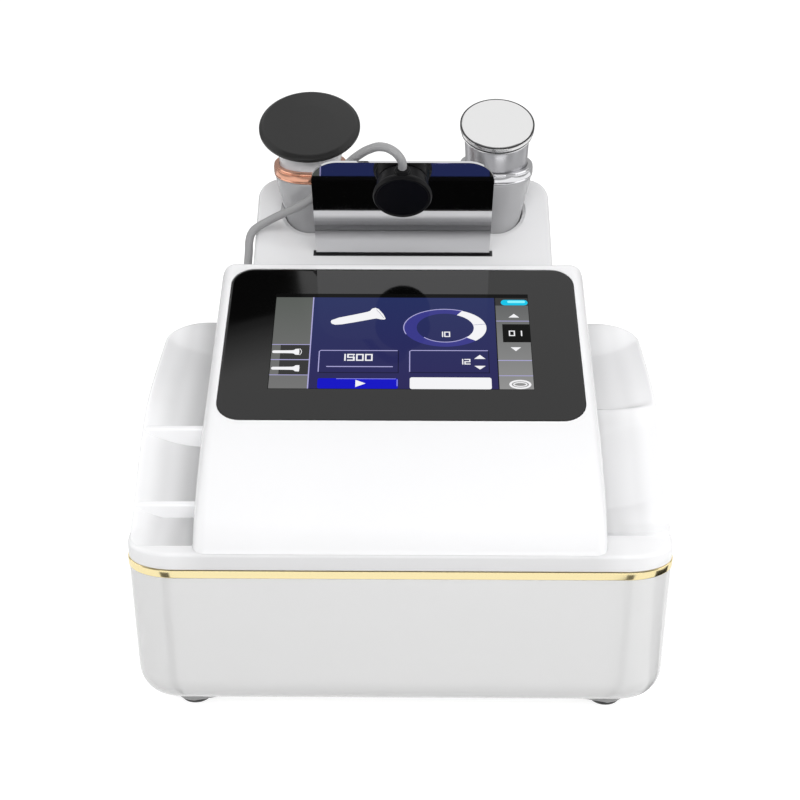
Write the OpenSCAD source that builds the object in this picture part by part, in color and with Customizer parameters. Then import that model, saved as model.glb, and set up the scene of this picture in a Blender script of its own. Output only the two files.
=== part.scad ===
// Table-top diathermy machine with two handpieces, a return plate and its lead.
// Millimetres. The origin is on the table under the centre of the case,
// X to the right, Y to the rear, Z up.

/* [Case] */
// Width of the case
case_w = 300; // [292:2:340]
// Depth of the case
case_d = 284; // [284:2:320]
// Corner size across the width
corner_x = 27; // [20:1:32]
// Corner size along the depth
corner_y = 17; // [12:1:22]
// Wall thickness of the mouldings
wall = 3; // [2.4:0.2:3.4]
// Height of the base tub
tub_h = 95; // [92:1:115]
// Radius of the tub's bottom edge
tub_fillet = 25; // [10:1:26]
// Height of the trim band
band_h = 5; // [4:0.5:8]
// How far the trim band stands proud
band_proud = 0.6; // [0.2:0.1:1]
// Thickness of the trim band
band_t = 2.6; // [2:0.2:3]
// Height of the upper shell's lip
lip_h = 10; // [8:0.5:14]
// Height of the rubber feet under the tub
foot_h = 7; // [5:0.5:10]
// Diameter of a rubber foot
foot_d = 20; // [14:1:22]

/* [Wings] */
// Depth of the storage wings from the front
wing_d = 205; // [190:1:212]
// Height of the wings over the lip
wing_h = 43.5; // [34:0.5:50]
// Distance from the front at which a wing starts to rise
wing_start = 24; // [22:1:30]
// Slope of the wings in degrees
wing_slope = 31; // [25:1:34]
// Rear corner radius of a wing
wing_r = 25; // [12:1:30]
// Depth of the scoop beside the console
scoop = 11; // [6:0.5:13]
// Thickness of the divider ribs
rib_t = 5; // [2:0.5:6]
// Distance of the front divider rib from the case front
rib_front = 42; // [38:1:50]
// Distance of the rear divider rib from the case front
rib_rear = 80; // [70:1:95]
// Distance of the right wing's soft ridge from the case front
ridge_at = 98; // [80:1:120]
// Height of the small step at the front of the right wing
step_h = 3.5; // [1:0.5:6]

/* [Console] */
// Width of the console
console_w = 226.6; // [218:0.2:232]
// Radius of the console's long edges
console_r = 8; // [5:0.5:10]
// Slope of the console's top in degrees
console_slope = 18.4; // [14:0.2:22]
// Depth of the curved front panel
curve_d = 68; // [60:1:69]
// Height of the curved front panel
curve_h = 44.3; // [38:0.5:50]
// Width of the screen glass
glass_w = 212; // [196:1:214]
// Distance from the screen glass to the console's rear edge
glass_rear = 7.5; // [4:0.5:12]
// Corner radius of the screen glass
glass_r = 14; // [6:1:20]
// Thickness of the screen glass
glass_t = 2; // [1.5:0.1:2.6]
// Width of the display panel
display_w = 166; // [150:1:170]
// Distance from the front edge of the glass to the display panel
display_front = 15.5; // [12:0.5:20]
// Distance from the display panel to the rear edge of the glass
display_rear = 12.5; // [10:0.5:18]
// Thickness of the display panel
display_t = 6; // [4:0.5:8]

/* [Rear deck] */
// Width of the rear deck
deck_w = 192; // [184:1:210]
// Depth of the rear deck
deck_d = 77; // [77:1:90]
// Slope of the rear deck in degrees
deck_tilt = 27.7; // [20:0.1:30]
// Corner radius of the rear deck
deck_r = 14; // [8:1:20]
// How far the deck's front edge lies under the console's rear edge
deck_drop = 13.4; // [4:0.2:18]

/* [Handpieces] */
// Distance between the two handpieces
hand_gap = 120.4; // [112:0.2:124]
// Length of a grip below the deck
grip_below = 76; // [60:1:80]
// Radius of a grip where it goes into the deck
grip_r = 17.7; // [16:0.1:18.2]
// Radius of a collar
collar_r = 23.7; // [23.2:0.1:25]
// Height of a collar
collar_h = 7.5; // [6:0.5:10]
// Tilt of the electrodes towards the front in degrees
head_tilt = 24; // [0:1:26]
// Height of the electrode faces over the deck
head_h = 59.2; // [57:0.2:64]
// Radius of the large coated electrode
disc_r = 32.5; // [26:0.5:34]
// Thickness of the large coated electrode
disc_t = 6; // [4:0.5:7]
// Radius of the small polished electrode
dome_r = 23.4; // [20:0.2:26]
// Thickness of the small polished electrode
dome_t = 4.5; // [3:0.5:6]
// Diameter of the contact studs
stud_d = 8; // [6:0.5:10]
// Running clearance of a stud, measured on the radius
stud_fit = 0.05; // [0.03:0.01:0.1]

/* [Return plate] */
// Width of the return plate
plate_w = 111; // [96:0.5:120]
// Height of the return plate over the deck
plate_h = 84.8; // [80:0.2:92]
// Depth of the return plate's slot
slot_depth = 13; // [8:0.5:16]
// Thickness of the return plate
plate_t = 1.5; // [1:0.1:2]
// Corner radius of the return plate
plate_r = 16.5; // [6:0.5:24]
// Gap on each side of the plate in its slot
slot_gap = 0.35; // [0.3:0.05:0.5]
// Distance of the plate from the deck's front edge
plate_at = 20.7; // [18:0.1:22]
// Height of the knob's centre over the deck
knob_h = 67.5; // [60:0.5:70]
// Radius of the connector knob
knob_r = 16.5; // [13:0.5:17]
// Length of the connector knob
knob_l = 13; // [12.5:0.5:14]

/* [Lead] */
// Diameter of the return lead
lead_d = 5.3; // [4.5:0.1:5.8]
// Turns of the put-away coil in each layer
coil_turns = 3; // [2:1:4]
// Radius of the coil's outer turn
coil_r = 40; // [38:1:44]
// Distance from one turn of the coil to the next
coil_pitch = 5.9; // [5.9:0.1:6.4]

/* [Inside] */
// Side of the cooling fan
fan_side = 58; // [50:1:60]
// Depth of the cooling fan
fan_t = 15; // [12:1:20]
// Running clearance of the fan's shaft, measured on the radius
shaft_fit = 0.05; // [0.03:0.01:0.1]
// Width of the rear panel
panel_w = 226; // [222:1:240]
// Thickness of the rear panel
panel_t = 2; // [1.5:0.1:3]
// Thickness of a circuit board
board_t = 1.6; // [1.2:0.2:2]

/* [Hidden] */
$fn = 64;

gap = 0.3;
wing_in = 0.2;
wing_sunk = 2;
far = 400;
white = [0.95, 0.95, 0.96];
pale_grey = [0.88, 0.88, 0.88];
black = [0.06, 0.06, 0.07];
steel = [0.75, 0.76, 0.78];
screw_steel = [0.6, 0.6, 0.62];
board_green = [0.1, 0.35, 0.2];

// Heights of the case, from the table up
z_tub = foot_h;
z_band = z_tub + tub_h;
z_lip = z_band + band_h;
z_top = z_lip + lip_h;
y_front = -case_d / 2;
y_rear = case_d / 2;

// Console, from its front edge to its rear wall
console_gap = 3;
rear_margin = 4;
deck_y = y_rear - rear_margin - deck_d;
console_y = y_front + 1;
console_d = deck_y - console_gap - console_y;
console_h = curve_h + (console_d - curve_d) * tan(console_slope);
glass_start = curve_d + 1.5;
glass_l = (console_d - glass_start) / cos(console_slope) - glass_rear;
glass_z = z_top + curve_h + 1.5 * tan(console_slope);
gasket_t = 0.8;
pad_t = 6;
display_l = glass_l - display_front - display_rear;
display_mid = display_front + display_l / 2;
display_back = glass_t + 0.2 + display_t;
frame_w = display_w + 12;
frame_l = display_l + 12;
frame_t = 2;
board_gap = 8;
board_w = display_w - 14;
board_l = display_l - 13;
frame_screw_xy = [for (sx = [-1, 1], sy = [-1, 1]) [sx * (frame_w / 2 - 3), display_mid + sy * (frame_l / 2 - 12)]];
standoff_xy = [for (sx = [-1, 1], sy = [-1, 1])
    [sx * (display_w / 2 - 17), display_mid + sy * (display_l / 2 - 14.5)]];

// Rear deck and what stands in it
deck_z = z_top + console_h - deck_drop;
deck_rear = y_rear - rear_margin;
cup_r = grip_r + 2.5;
cup_wall = 1.5;
hand_y = deck_rear - wall - cup_r - cup_wall - gap;
hand_z = deck_z + (hand_y - deck_y) * tan(deck_tilt);
cap_t = 4;
grip_top = 25.2;
collar_seat = collar_r - 3.4;
neck_base = grip_top + 6 + gap;
neck_low = collar_h - 6;
liner_t = 1.2;
liner_w = plate_w + 2 * (0.5 + 1.5);
liner_depth = plate_t + 2 * (slot_gap + liner_t);
plate_mid = plate_at + plate_t / 2;
stud_len = 14.5;

// Rear panel and its fittings, by their places across the panel
panel_y = y_rear - wall;
panel_low = z_tub + 26;
panel_high = z_band - 3;
panel_mid = (panel_low + panel_high) / 2;
fan_x = 72.5;
inlet_x = 25;
rocker_x = -2;
gland_x = -26;
socket_xs = [-58, -82];
gland_z = panel_mid - 14;
rocker_axis_y = panel_y - 5.2;
rocker_r = 8.6;
rocker_throw = 8;

// Fasteners
screw_d = 3;
screw_fit = 0.05;
case_screw_xy = [for (sx = [-1, 1], sy = [0, 1])
    [sx * (case_w / 2 - 22), sy == 0 ? y_front + 15 : y_rear - 30]];
screw_seat = z_band - 20;
foot_xy = [for (sx = [-1, 1], sy = [-1, 1]) [sx * (case_w / 2 - 29.5), sy * (case_d / 2 - 28)]];
chassis_w = 190;
chassis_dd = 205;
chassis_x = 25;
chassis_y = 5;
chassis_z = z_tub + wall + 5;
chassis_t = 1.5;
chassis_top = chassis_z + chassis_t;
chassis_xy = [for (sx = [-1, 1], sy = [-1, 1])
    [chassis_x + sx * (chassis_w / 2 - 8), chassis_y + sy * (chassis_dd / 2 - 8)]];
speaker_xy = [-case_w / 2 + 50, y_front + 92];
grille_xy = concat([speaker_xy], [for (a = [0:60:300]) speaker_xy + 10 * [cos(a), sin(a)]]);
panel_screw_xz = [for (sx = [-1, 1], z = [panel_low + 12, panel_high - 12]) [sx * (panel_w / 2 - 5), z]];
console_boss_xy = [for (sx = [-1, 1], y = [16, console_d - 10])
    [sx * (console_w / 2 - 6.8), console_y + y]];
deck_boss_xy = [for (sx = [-1, 1], y = [deck_y + 8, deck_rear - 8]) [sx * (deck_w / 2 - 9), y]];

// Route of the lead: points on the deck are [across, up the slope, off the surface]
loop_points = [
    [0, 14.2, 87.5], [0, 14.2, 91], [-1.7, 15, 95.6], [-6.2, 17, 99.4], [-12.3, 20, 99], [-19.5, 23.3, 93.6],
    [-27, 26.3, 84.6], [-31.5, 28, 78], [-41, 30.8, 62.5], [-49.5, 32.5, 49.5]];
deck_points = [
    [-49.5, 32.5, 49.5], [-56, 33.8, 39.56], [-63, 35.6, 31], [-72, 37.8, 22.4], [-81.5, 39.5, 14.4],
    [-88.5, 39.9, 8.6], [-93.5, 39.2, 5.4], [-97.8, 36.8, 2.4], [-99.9, 33, -2]];
case_points = [
    [-100.3, 89.5, 199], [-101.2, 86.6, 189.7], [-102, 82.2, 176], [-102, 78.6, 162], [-102, 76.4, 147],
    [-102.5, 76.6, 133], [-103.5, 83, 122.5], [-104.5, 93, 119.8], [-105.5, 108, 119.7], [-106, 122, 119.7],
    [-106, 133, 119.8], [-106, 140.5, 120.1], [-106, 145.2, 117.8], [-106, 148.5, 113], [-106, 151.5, 106],
    [-106, 152.5, 92], [-106, 152.5, 76], [-106, 152.5, 60], [-106, 153, 44], [-106, 154.5, 30],
    [-106, 159, 17], [-106, 167, 8], [-106, 178, 3.6], [-106, 189, 2.65], [-106, 199.7, 2.65]];
tail_points = [
    [-26, 199.7, 8.55], [-26, 194.4, 8.55], [-26, 188, 11.5], [-26, 182.5, 19], [-26, 179, 29],
    [-26, 175, 40], [-26, 170.5, 48.5], [-26, 165.5, 52], [-26, 160, 52]];
coil_mid = [-66, 205];
lead_path_run = concat([for (p = deck_points) on_deck_point(p)], case_points);

// Functions for outlines, surfaces and sweeps
function unit(v) = v / norm(v);
function on_deck_point(p) = [
    p[0],
    deck_y + p[1] * cos(deck_tilt) - p[2] * sin(deck_tilt),
    deck_z + p[1] * sin(deck_tilt) + p[2] * cos(deck_tilt)];

// Outline of the case drawn in by an even distance, with elliptical corners
function corner_points(cx, cy, ax, ay, from) = [
    for (i = [0:10]) [cx + ax * cos(from + i * 9), cy + ay * sin(from + i * 9)]];
function case_outline(inset) =
    let (ax = max(corner_x - inset, 2), ay = max(corner_y - inset, 2),
         cx = case_w / 2 - inset - ax, cy = case_d / 2 - inset - ay)
    concat(corner_points(cx, cy, ax, ay, 0), corner_points(-cx, cy, ax, ay, 90),
           corner_points(-cx, -cy, ax, ay, 180), corner_points(cx, -cy, ax, ay, 270));

// Curve of the console's front panel, as a cubic from its foot to the slope
function curve_point(t) =
    let (a = [0, 0], b = [4, 14],
         c = [curve_d - 30 * cos(console_slope), curve_h - 30 * sin(console_slope)],
         d = [curve_d, curve_h])
    pow(1 - t, 3) * a + 3 * pow(1 - t, 2) * t * b + 3 * (1 - t) * t * t * c + pow(t, 3) * d;
console_side = concat([[0, -30]], [for (i = [0:12]) curve_point(i / 12)],
                      [[console_d, console_h], [console_d, -30]]);

// Height over the lip of a wing's outer edge and of its scooped floor, at a distance from the front
function smooth(t) = let (c = min(max(t, 0), 1)) c * c * (3 - 2 * c);
function wing_edge(y, low) =
    let (ramp = (y - wing_start) * tan(wing_slope))
    max(ramp < 0 ? ramp : ramp / pow(1 + pow(ramp / wing_h, 6), 1 / 6), low);
function wing_scoop(y, low, ridge) =
    min(scoop, wing_edge(y, low) + 1.5 - low) * (1 - smooth((y - wing_d + 28) / 26))
    * (1 - ridge * 0.8 * exp(-pow((y - ridge_at) / 6, 2)));
function wing_height(u, y, low, ridge) = wing_edge(y, low) - wing_scoop(y, low, ridge) * (1 - u * u);

// Half width of a wing's outer edge, which follows the case corner and the wing's rear corner
function wing_out(y) =
    y > wing_d - wing_r
    ? case_w / 2 - wing_in - wing_r + sqrt(max(pow(wing_r, 2) - pow(y - wing_d + wing_r, 2), 0))
    : case_w / 2 - wing_in;

// One closed section of a wing, square to the depth
function wing_section(y, low, ridge, drop, inset, base) =
    let (x0 = console_w / 2 + gap + inset, x1 = max(wing_out(y) - inset, x0 + 1), n = 8)
    concat([[x0, y_front + y, base]],
           [for (i = [0:n]) let (u = i / n)
               [x0 + (x1 - x0) * u, y_front + y, max(z_top + wing_height(u, y, low, ridge) - drop, base + 0.2)]],
           [[x1, y_front + y, base]]);

// Normals carried along a path without twist
function path_tangent(p, i) =
    i == 0 ? unit(p[1] - p[0])
    : i == len(p) - 1 ? unit(p[i] - p[i - 1]) : unit(p[i + 1] - p[i - 1]);
function square_to(n, t) = unit(n - (n * t) * t);
function path_normals(p, i = 0, last = [0.1, 0.2, 1]) =
    i == len(p) ? []
    : let (t = path_tangent(p, i), n = square_to(last, t)) concat([n], path_normals(p, i + 1, n));

// Centre line of the coil: spirals in, climbs a layer in half a turn and spirals out
function coil_point(t) =
    let (inner = coil_r - coil_turns * coil_pitch,
         r = t < coil_turns ? coil_r - coil_pitch * t
             : t < coil_turns + 0.5 ? inner - coil_pitch / (2 * PI) * sin(360 * (t - coil_turns))
             : inner + coil_pitch * (t - coil_turns - 0.5),
         rise = smooth((t - coil_turns) / 0.5),
         a = 180 - 360 * t)
    [coil_mid[0] + r * cos(a), coil_mid[1] + r * sin(a), lead_d / 2 + coil_pitch * rise];
coil_end = 2 * coil_turns + 0.5;
coil_steps = 24 * coil_end;
coil_line = concat([coil_point(0) - [0, lead_d, 0]],
                   [for (i = [0:coil_steps]) coil_point(i / 24)],
                   [coil_point(coil_end) - [0, lead_d, 0]]);
coil_gap = min([for (i = [0:6:coil_steps - 24], j = [i + 18:coil_steps])
    norm(coil_point(i / 24) - coil_point(j / 24))]) - lead_d;
function path_length(p, i = 1) = i == len(p) ? 0 : norm(p[i] - p[i - 1]) + path_length(p, i + 1);
echo(coil_gap = coil_gap);
echo(lead_length = path_length([for (p = loop_points) on_deck_point(p)]) + path_length(lead_path_run)
    + path_length(coil_line) + path_length(tail_points));

// Closed solid through rings of points that all have the same number of points
module loft(rings) {
    n = len(rings[0]);
    m = len(rings);
    polyhedron(
        points = [for (r = rings) for (p = r) p],
        faces = concat(
            [[for (i = [0:n - 1]) i]],
            [for (k = [0:m - 2], i = [0:n - 1]) let (j = (i + 1) % n)
                [k * n + i, (k + 1) * n + i, (k + 1) * n + j]],
            [for (k = [0:m - 2], i = [0:n - 1]) let (j = (i + 1) % n)
                [k * n + i, (k + 1) * n + j, k * n + j]],
            [[for (i = [n - 1:-1:0]) (m - 1) * n + i]]));
}

// Tube swept along a path
module tube(path, d, sides) {
    normals = path_normals(path);
    loft([for (i = [0:len(path) - 1])
        let (t = path_tangent(path, i), n = normals[i], b = cross(t, n))
        [for (k = [0:sides - 1]) path[i] + (n * cos(k * 360 / sides) + b * sin(k * 360 / sides)) * d / 2]]);
}

module rounded(w, d, r) {
    square([w - 2 * r, d], center = true);
    square([w, d - 2 * r], center = true);
    for (sx = [-1, 1], sy = [-1, 1])
        translate([sx * (w / 2 - r), sy * (d / 2 - r)]) circle(r = r);
}

module block(x, y, z, w, d, h) {
    translate([x - w / 2, y - d / 2, z]) cube([w, d, h]);
}

// Places its children on the deck's slope, from the middle of its front edge
module on_deck() {
    translate([0, deck_y, deck_z]) rotate([deck_tilt, 0, 0]) children();
}

// Places its children on the glass, from the middle of its lower edge
module on_glass() {
    translate([0, console_y + glass_start, glass_z]) rotate([console_slope, 0, 0]) children();
}

// Hole through the glass side of the console, or what fills it
module on_display(low, high, w, l) {
    on_glass() translate([0, display_mid, low]) linear_extrude(high - low) square([w, l], center = true);
}

// Places its children upright in a handpiece holder, from the deck's surface
module in_holder(side) {
    translate([side * hand_gap / 2, hand_y, hand_z]) children();
}

// Solid of the case between heights, each ring drawn in by its own distance
module case_loft(steps) {
    loft([for (s = steps) [for (p = case_outline(s[1])) [p[0], p[1], s[0]]]]);
}

// Heights and insets of the tub's rounded bottom edge
function tub_edge(inset, r) = [for (a = [0:15:90])
    [z_tub + inset + r * (1 - cos(a)), inset + r * (1 - sin(a))]];

// Open base tub with its posts, bosses, vents and the opening for the rear panel
module base_tub() {
    color(pale_grey) difference() {
        union() {
            difference() {
                case_loft(concat(tub_edge(0, tub_fillet), [[z_band, 0]]));
                case_loft(concat(tub_edge(wall, tub_fillet - wall), [[z_band + 1, wall]]));
            }
            for (p = case_screw_xy)
                translate([p[0], p[1], z_tub + wall - 0.5]) cylinder(d = 11, h = tub_h - wall + 0.5);
            for (p = foot_xy) translate([p[0], p[1], z_tub + wall - 0.5]) cylinder(d = 12, h = 5);
            for (p = chassis_xy) translate([p[0], p[1], z_tub + wall - 0.5]) cylinder(d = 9, h = 5.5);
        }
        for (p = case_screw_xy) translate([p[0], p[1], z_tub - 1]) {
            cylinder(d = screw_d + 0.4, h = tub_h + 2);
            cylinder(d = 7, h = screw_seat - z_tub + 1);
        }
        for (p = foot_xy) translate([p[0], p[1], z_tub - 1]) cylinder(d = screw_d + 2 * screw_fit, h = 9);
        for (p = chassis_xy)
            translate([p[0], p[1], z_tub + wall + 0.5]) cylinder(d = screw_d + 2 * screw_fit, h = 5);
        for (i = [0:6]) block(chassis_x - 60 + i * 20, chassis_y - 35, z_tub - 1, 3.6, 60, wall + 2);
        for (p = grille_xy) translate([p[0], p[1], z_tub - 1]) cylinder(d = 3, h = wall + 2);
        translate([0, y_rear - wall / 2, panel_mid])
            cube([panel_w - 20, wall * 3, panel_high - panel_low - 14], center = true);
        for (p = panel_screw_xz) translate([p[0], y_rear + 1, p[1]]) rotate([90, 0, 0]) {
            cylinder(d = screw_d + 0.4, h = wall + 2);
            cylinder(d = screw_d * 2 + 0.6, h = 2.7);
        }
    }
}

// Polished band clamped between the tub and the upper shell
module gold_trim_band() {
    color([0.88, 0.74, 0.4]) translate([0, 0, z_band]) linear_extrude(band_h) difference() {
        polygon(case_outline(-band_proud));
        polygon(case_outline(band_t));
    }
}

// Solid under a wing's surface, on the right-hand side
module wing_body(low, ridge, drop, inset, base) {
    y0 = wing_start - 3 + inset;
    y1 = wing_d - inset;
    curved = wing_r - inset;
    straight = [for (i = [0:16]) y0 + (y1 - curved - y0) * i / 16];
    turned = [for (a = [15:15:90]) y1 - curved + curved * sin(a)];
    loft([for (y = concat(straight, turned)) wing_section(y, low, ridge, drop, inset, base)]);
}

// Divider rib across the left wing, level with its outer edge
module wing_rib(y) {
    x0 = console_w / 2 + gap;
    translate([x0, y_front + y - rib_t / 2, z_top - 1])
        cube([wing_out(y) - x0 - 1.5, rib_t, wing_edge(y - rib_t / 2, 0) + 1]);
}

// Upper shell: lip, storage wings, rear ledge and the seats of the console and the deck
module upper_shell() {
    color(white) difference() {
        union() {
            difference() {
                union() {
                    case_loft([[z_lip, 0], [z_top - 2, 0], [z_top - 0.6, 0.6], [z_top, 2]]);
                    wing_body(step_h, 1, 0, 0, z_top - 2.7);
                    mirror([1, 0, 0]) {
                        wing_body(-wing_sunk, 0, 0, 0, z_top - 2.7);
                        wing_rib(rib_front);
                        wing_rib(rib_rear);
                    }
                }
                case_loft([[z_lip - 1, wall], [z_top - wall, wall]]);
                wing_body(step_h, 1, wall, wall, z_top - wall - 1);
                mirror([1, 0, 0]) wing_body(-wing_sunk, 0, wall, wall, z_top - wall - 1);
                block(0, console_y + console_d / 2, z_lip, console_w - 32, console_d - 16, lip_h + 1);
                block(0, (deck_y + deck_rear) / 2, z_lip, deck_w - 30, deck_d - 10, lip_h + 1);
            }
            for (p = case_screw_xy)
                translate([p[0], p[1], z_band]) cylinder(d = 9, h = z_top - wall - z_band + 0.5);
        }
        for (p = case_screw_xy)
            translate([p[0], p[1], z_band - 1]) cylinder(d = screw_d + 2 * screw_fit, h = 11);
        for (p = concat(console_boss_xy, deck_boss_xy))
            translate([p[0], p[1], z_lip]) cylinder(d = screw_d + 0.4, h = lip_h + 1);
    }
}

// Solid along the console's depth, drawn in by an even distance, with rounded long edges
module console_body(inset, r) {
    translate([0, console_y, z_top]) hull() for (s = [[0, r], [0.293 * r, 0.293 * r], [r, 0]])
        rotate([90, 0, 90]) linear_extrude(console_w - 2 * inset - 2 * s[0], center = true)
            offset(delta = -inset - s[1]) polygon(console_side);
}

// Central console, open below, with the glass pocket and the display window
module console_cover() {
    color(white) difference() {
        union() {
            difference() {
                console_body(0, console_r);
                console_body(wall, console_r - wall);
            }
            intersection() {
                console_body(wall / 2, console_r);
                union() {
                    on_display(-pad_t, -1, frame_w, frame_l);
                    for (p = console_boss_xy) translate([p[0], p[1], z_top]) cylinder(d = 9, h = 12);
                }
            }
        }
        block(0, 0, z_top - far, 2 * far, 2 * far, far);
        on_glass() translate([0, glass_l / 2, -glass_t - gasket_t])
            linear_extrude(far) rounded(glass_w + 2 * gap, glass_l + 2 * gap, glass_r + gap);
        on_display(-pad_t - 1, far, display_w + 1, display_l + 1);
        on_glass() for (p = frame_screw_xy) translate([p[0], p[1], -pad_t - 1]) cylinder(d = 2.6, h = 3);
        for (p = console_boss_xy)
            translate([p[0], p[1], z_top - 1]) cylinder(d = screw_d + 2 * screw_fit, h = 10);
    }
}

// Black cover glass, flush with the console
module screen_glass() {
    color(black) on_glass() translate([0, glass_l / 2, -glass_t])
        linear_extrude(glass_t) rounded(glass_w, glass_l, glass_r);
}

// Foam gasket between the glass and the console
module glass_gasket() {
    color([0.2, 0.2, 0.2]) on_glass() translate([0, 0, -glass_t - gasket_t]) linear_extrude(gasket_t)
        difference() {
            translate([0, glass_l / 2]) rounded(glass_w - 2, glass_l - 2, glass_r - 1);
            translate([0, display_mid]) square([display_w + 2, display_l + 2], center = true);
        }
}

// Display panel behind the glass
module display_panel() {
    color([0.12, 0.12, 0.3]) on_display(-display_back, -glass_t - 0.2, display_w, display_l);
}

// Tray that holds the display panel up against the glass
module display_frame() {
    rim = pad_t;
    color([0.25, 0.25, 0.27]) difference() {
        on_display(-display_back - frame_t, -rim, frame_w, frame_l);
        on_display(-display_back, 1, display_w + 1, display_l + 1);
        on_display(-far, 1, display_w - 60, display_l - 40);
        on_glass() for (p = frame_screw_xy)
            translate([p[0], p[1], -display_back - frame_t - 1]) cylinder(d = 2.8, h = far);
    }
}

// Standoffs on the display tray, with the screws that hold the tray to the console
module board_standoffs() {
    color(screw_steel) on_glass() {
        for (p = standoff_xy) translate([p[0], p[1], -display_back - frame_t - board_gap])
            cylinder(d = 6, h = board_gap);
        for (p = frame_screw_xy) translate([p[0], p[1], -display_back - frame_t - 1.6]) {
            cylinder(d = 5, h = 1.6);
            cylinder(d = 2.5, h = display_back + frame_t + 1.6 - pad_t + 1.5);
        }
    }
}

// Main board with its processor, memory, coin cell and edge connectors
module control_board() {
    top = -display_back - frame_t - board_gap;
    color(board_green) on_glass() translate([0, display_mid, top - board_t]) {
        translate([-board_w / 2, -board_l / 2, 0]) cube([board_w, board_l, board_t]);
        translate([-16, -12, -3]) cube([30, 30, 3]);
        for (i = [0:3]) translate([24, -26 + i * 14, -2]) cube([14, 9, 2]);
        translate([-48, 14, -4]) cylinder(d = 20, h = 4);
        for (i = [0:2]) translate([-board_w / 2 + 6 + i * 40, -board_l / 2 + 2, -8]) cube([26, 8, 8]);
    }
}

// Small loudspeaker over the grille in the tub's floor
module speaker() {
    color([0.15, 0.15, 0.16]) translate([speaker_xy[0], speaker_xy[1], z_tub + wall]) {
        difference() {
            cylinder(d = 40, h = 3);
            translate([0, 0, -1]) cylinder(d = 31, h = 5);
        }
        translate([0, 0, 3]) cylinder(d1 = 34, d2 = 22, h = 6);
        translate([0, 0, 9]) cylinder(d = 22, h = 6);
    }
}

// Upright cup under the deck that a grip stands in
module holder_cup(side) {
    color([0.3, 0.3, 0.32]) difference() {
        intersection() {
            union() {
                in_holder(side) translate([0, 0, -grip_below - cap_t - gap - 2])
                    cylinder(r = cup_r + cup_wall, h = grip_below + cap_t + 22);
                on_deck() translate([side * hand_gap / 2, (hand_y - deck_y) / cos(deck_tilt), -wall - 2.5])
                    linear_extrude(2.5) rounded(2 * cup_r + 16, 2 * cup_r + 4, 4);
            }
            on_deck() translate([-far, -far, -far - wall]) cube([2 * far, 2 * far, far]);
            block(0, 0, 0, far, 2 * (deck_rear - wall - 0.1), far);
        }
        in_holder(side) {
            translate([0, 0, -grip_below - cap_t - gap]) cylinder(r = grip_r - 0.9, h = far);
            translate([0, 0, -28]) cylinder(r = cup_r, h = far);
            translate([0, 0, -far / 2]) cylinder(d = 12, h = far);
        }
    }
}
module left_holder_cup() { holder_cup(-1); }
module right_holder_cup() { holder_cup(1); }

// Rear deck: a tower with a sloping top, its holes and the slot for the plate
module rear_deck() {
    mid = [0, (deck_y + deck_rear) / 2, z_top];
    color(white) difference() {
        union() {
            difference() {
                translate(mid) linear_extrude(far) rounded(deck_w, deck_d, deck_r);
                translate(mid - [0, 0, 1]) intersection() {
                    linear_extrude(far) rounded(deck_w - 2 * wall, deck_d - 2 * wall, deck_r - wall);
                    translate([0, 0, 1] - mid) on_deck() translate([-far, -far, -far - wall])
                        cube([2 * far, 2 * far, far]);
                }
            }
            for (p = deck_boss_xy) translate([p[0], p[1], z_top]) cylinder(d = 9, h = 14);
        }
        on_deck() translate([-far, -far, 0]) cube([2 * far, 2 * far, far]);
        for (side = [-1, 1]) in_holder(side) translate([0, 0, -40]) cylinder(r = cup_r, h = far);
        on_deck() translate([0, plate_mid, -wall / 2])
            cube([liner_w + 0.2, liner_depth + 0.2, wall * 2], center = true);
        for (p = deck_boss_xy)
            translate([p[0], p[1], z_top - 1]) cylinder(d = screw_d + 2 * screw_fit, h = 10);
    }
}

// Dark liner of the slot that the return plate stands in
module plate_slot_liner() {
    color([0.12, 0.12, 0.13]) on_deck() translate([0, plate_mid, 0]) difference() {
        translate([-liner_w / 2, -liner_depth / 2, -slot_depth - 1.5])
            cube([liner_w, liner_depth, slot_depth + 1.5]);
        translate([-plate_w / 2 - 0.5, -plate_t / 2 - slot_gap, -slot_depth])
            cube([plate_w + 1, plate_t + 2 * slot_gap, slot_depth + 1]);
    }
}

// Steel plate inside the tub that carries the power parts
module chassis_plate() {
    color(steel) difference() {
        block(chassis_x, chassis_y, chassis_z, chassis_w, chassis_dd, chassis_t);
        for (p = chassis_xy) translate([p[0], p[1], chassis_z - 1]) cylinder(d = 3.4, h = chassis_t + 2);
        for (i = [0:6]) block(chassis_x - 60 + i * 20, chassis_y - 35, chassis_z - 1, 3.6, 60, chassis_t + 2);
    }
}

// Mains power supply in its cage
module power_supply() {
    x = chassis_x + 36;
    color([0.7, 0.71, 0.72]) difference() {
        block(x, chassis_y - 33, chassis_top, 84, 129, 38);
        for (i = [0:9], j = [0:4])
            translate([x - 38 + i * 8, chassis_y - 73 + j * 16, chassis_top + 37]) cube([4, 10, 3]);
    }
}

// Board of the radio-frequency generator
module generator_board() {
    x = chassis_x - 52;
    y = chassis_y - 25;
    color([0.1, 0.25, 0.4]) {
        block(x, y, chassis_top + 5, 78, 130, board_t);
        for (sx = [-1, 1], sy = [-1, 1])
            translate([x + sx * 34, y + sy * 58, chassis_top]) cylinder(d = 6, h = 5);
        for (i = [0:3]) translate([x + 24, y - 52 + i * 24, chassis_top + 5 + board_t]) cylinder(d = 14, h = 20);
        for (i = [0:3]) block(x - 7, y - 30 + i * 18, chassis_top + 5 + board_t, 10, 14, 3);
    }
}

// Finned heat sink on the generator's transistors
module heat_sink() {
    x = chassis_x - 67;
    y = chassis_y - 25;
    z = chassis_top + 5 + board_t + 3;
    color([0.55, 0.56, 0.58]) {
        block(x + 8, y, z, 34, 100, 4);
        for (i = [0:6]) block(x - 7 + i * 5, y, z + 3.5, 1.6, 100, 20);
    }
}

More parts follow.
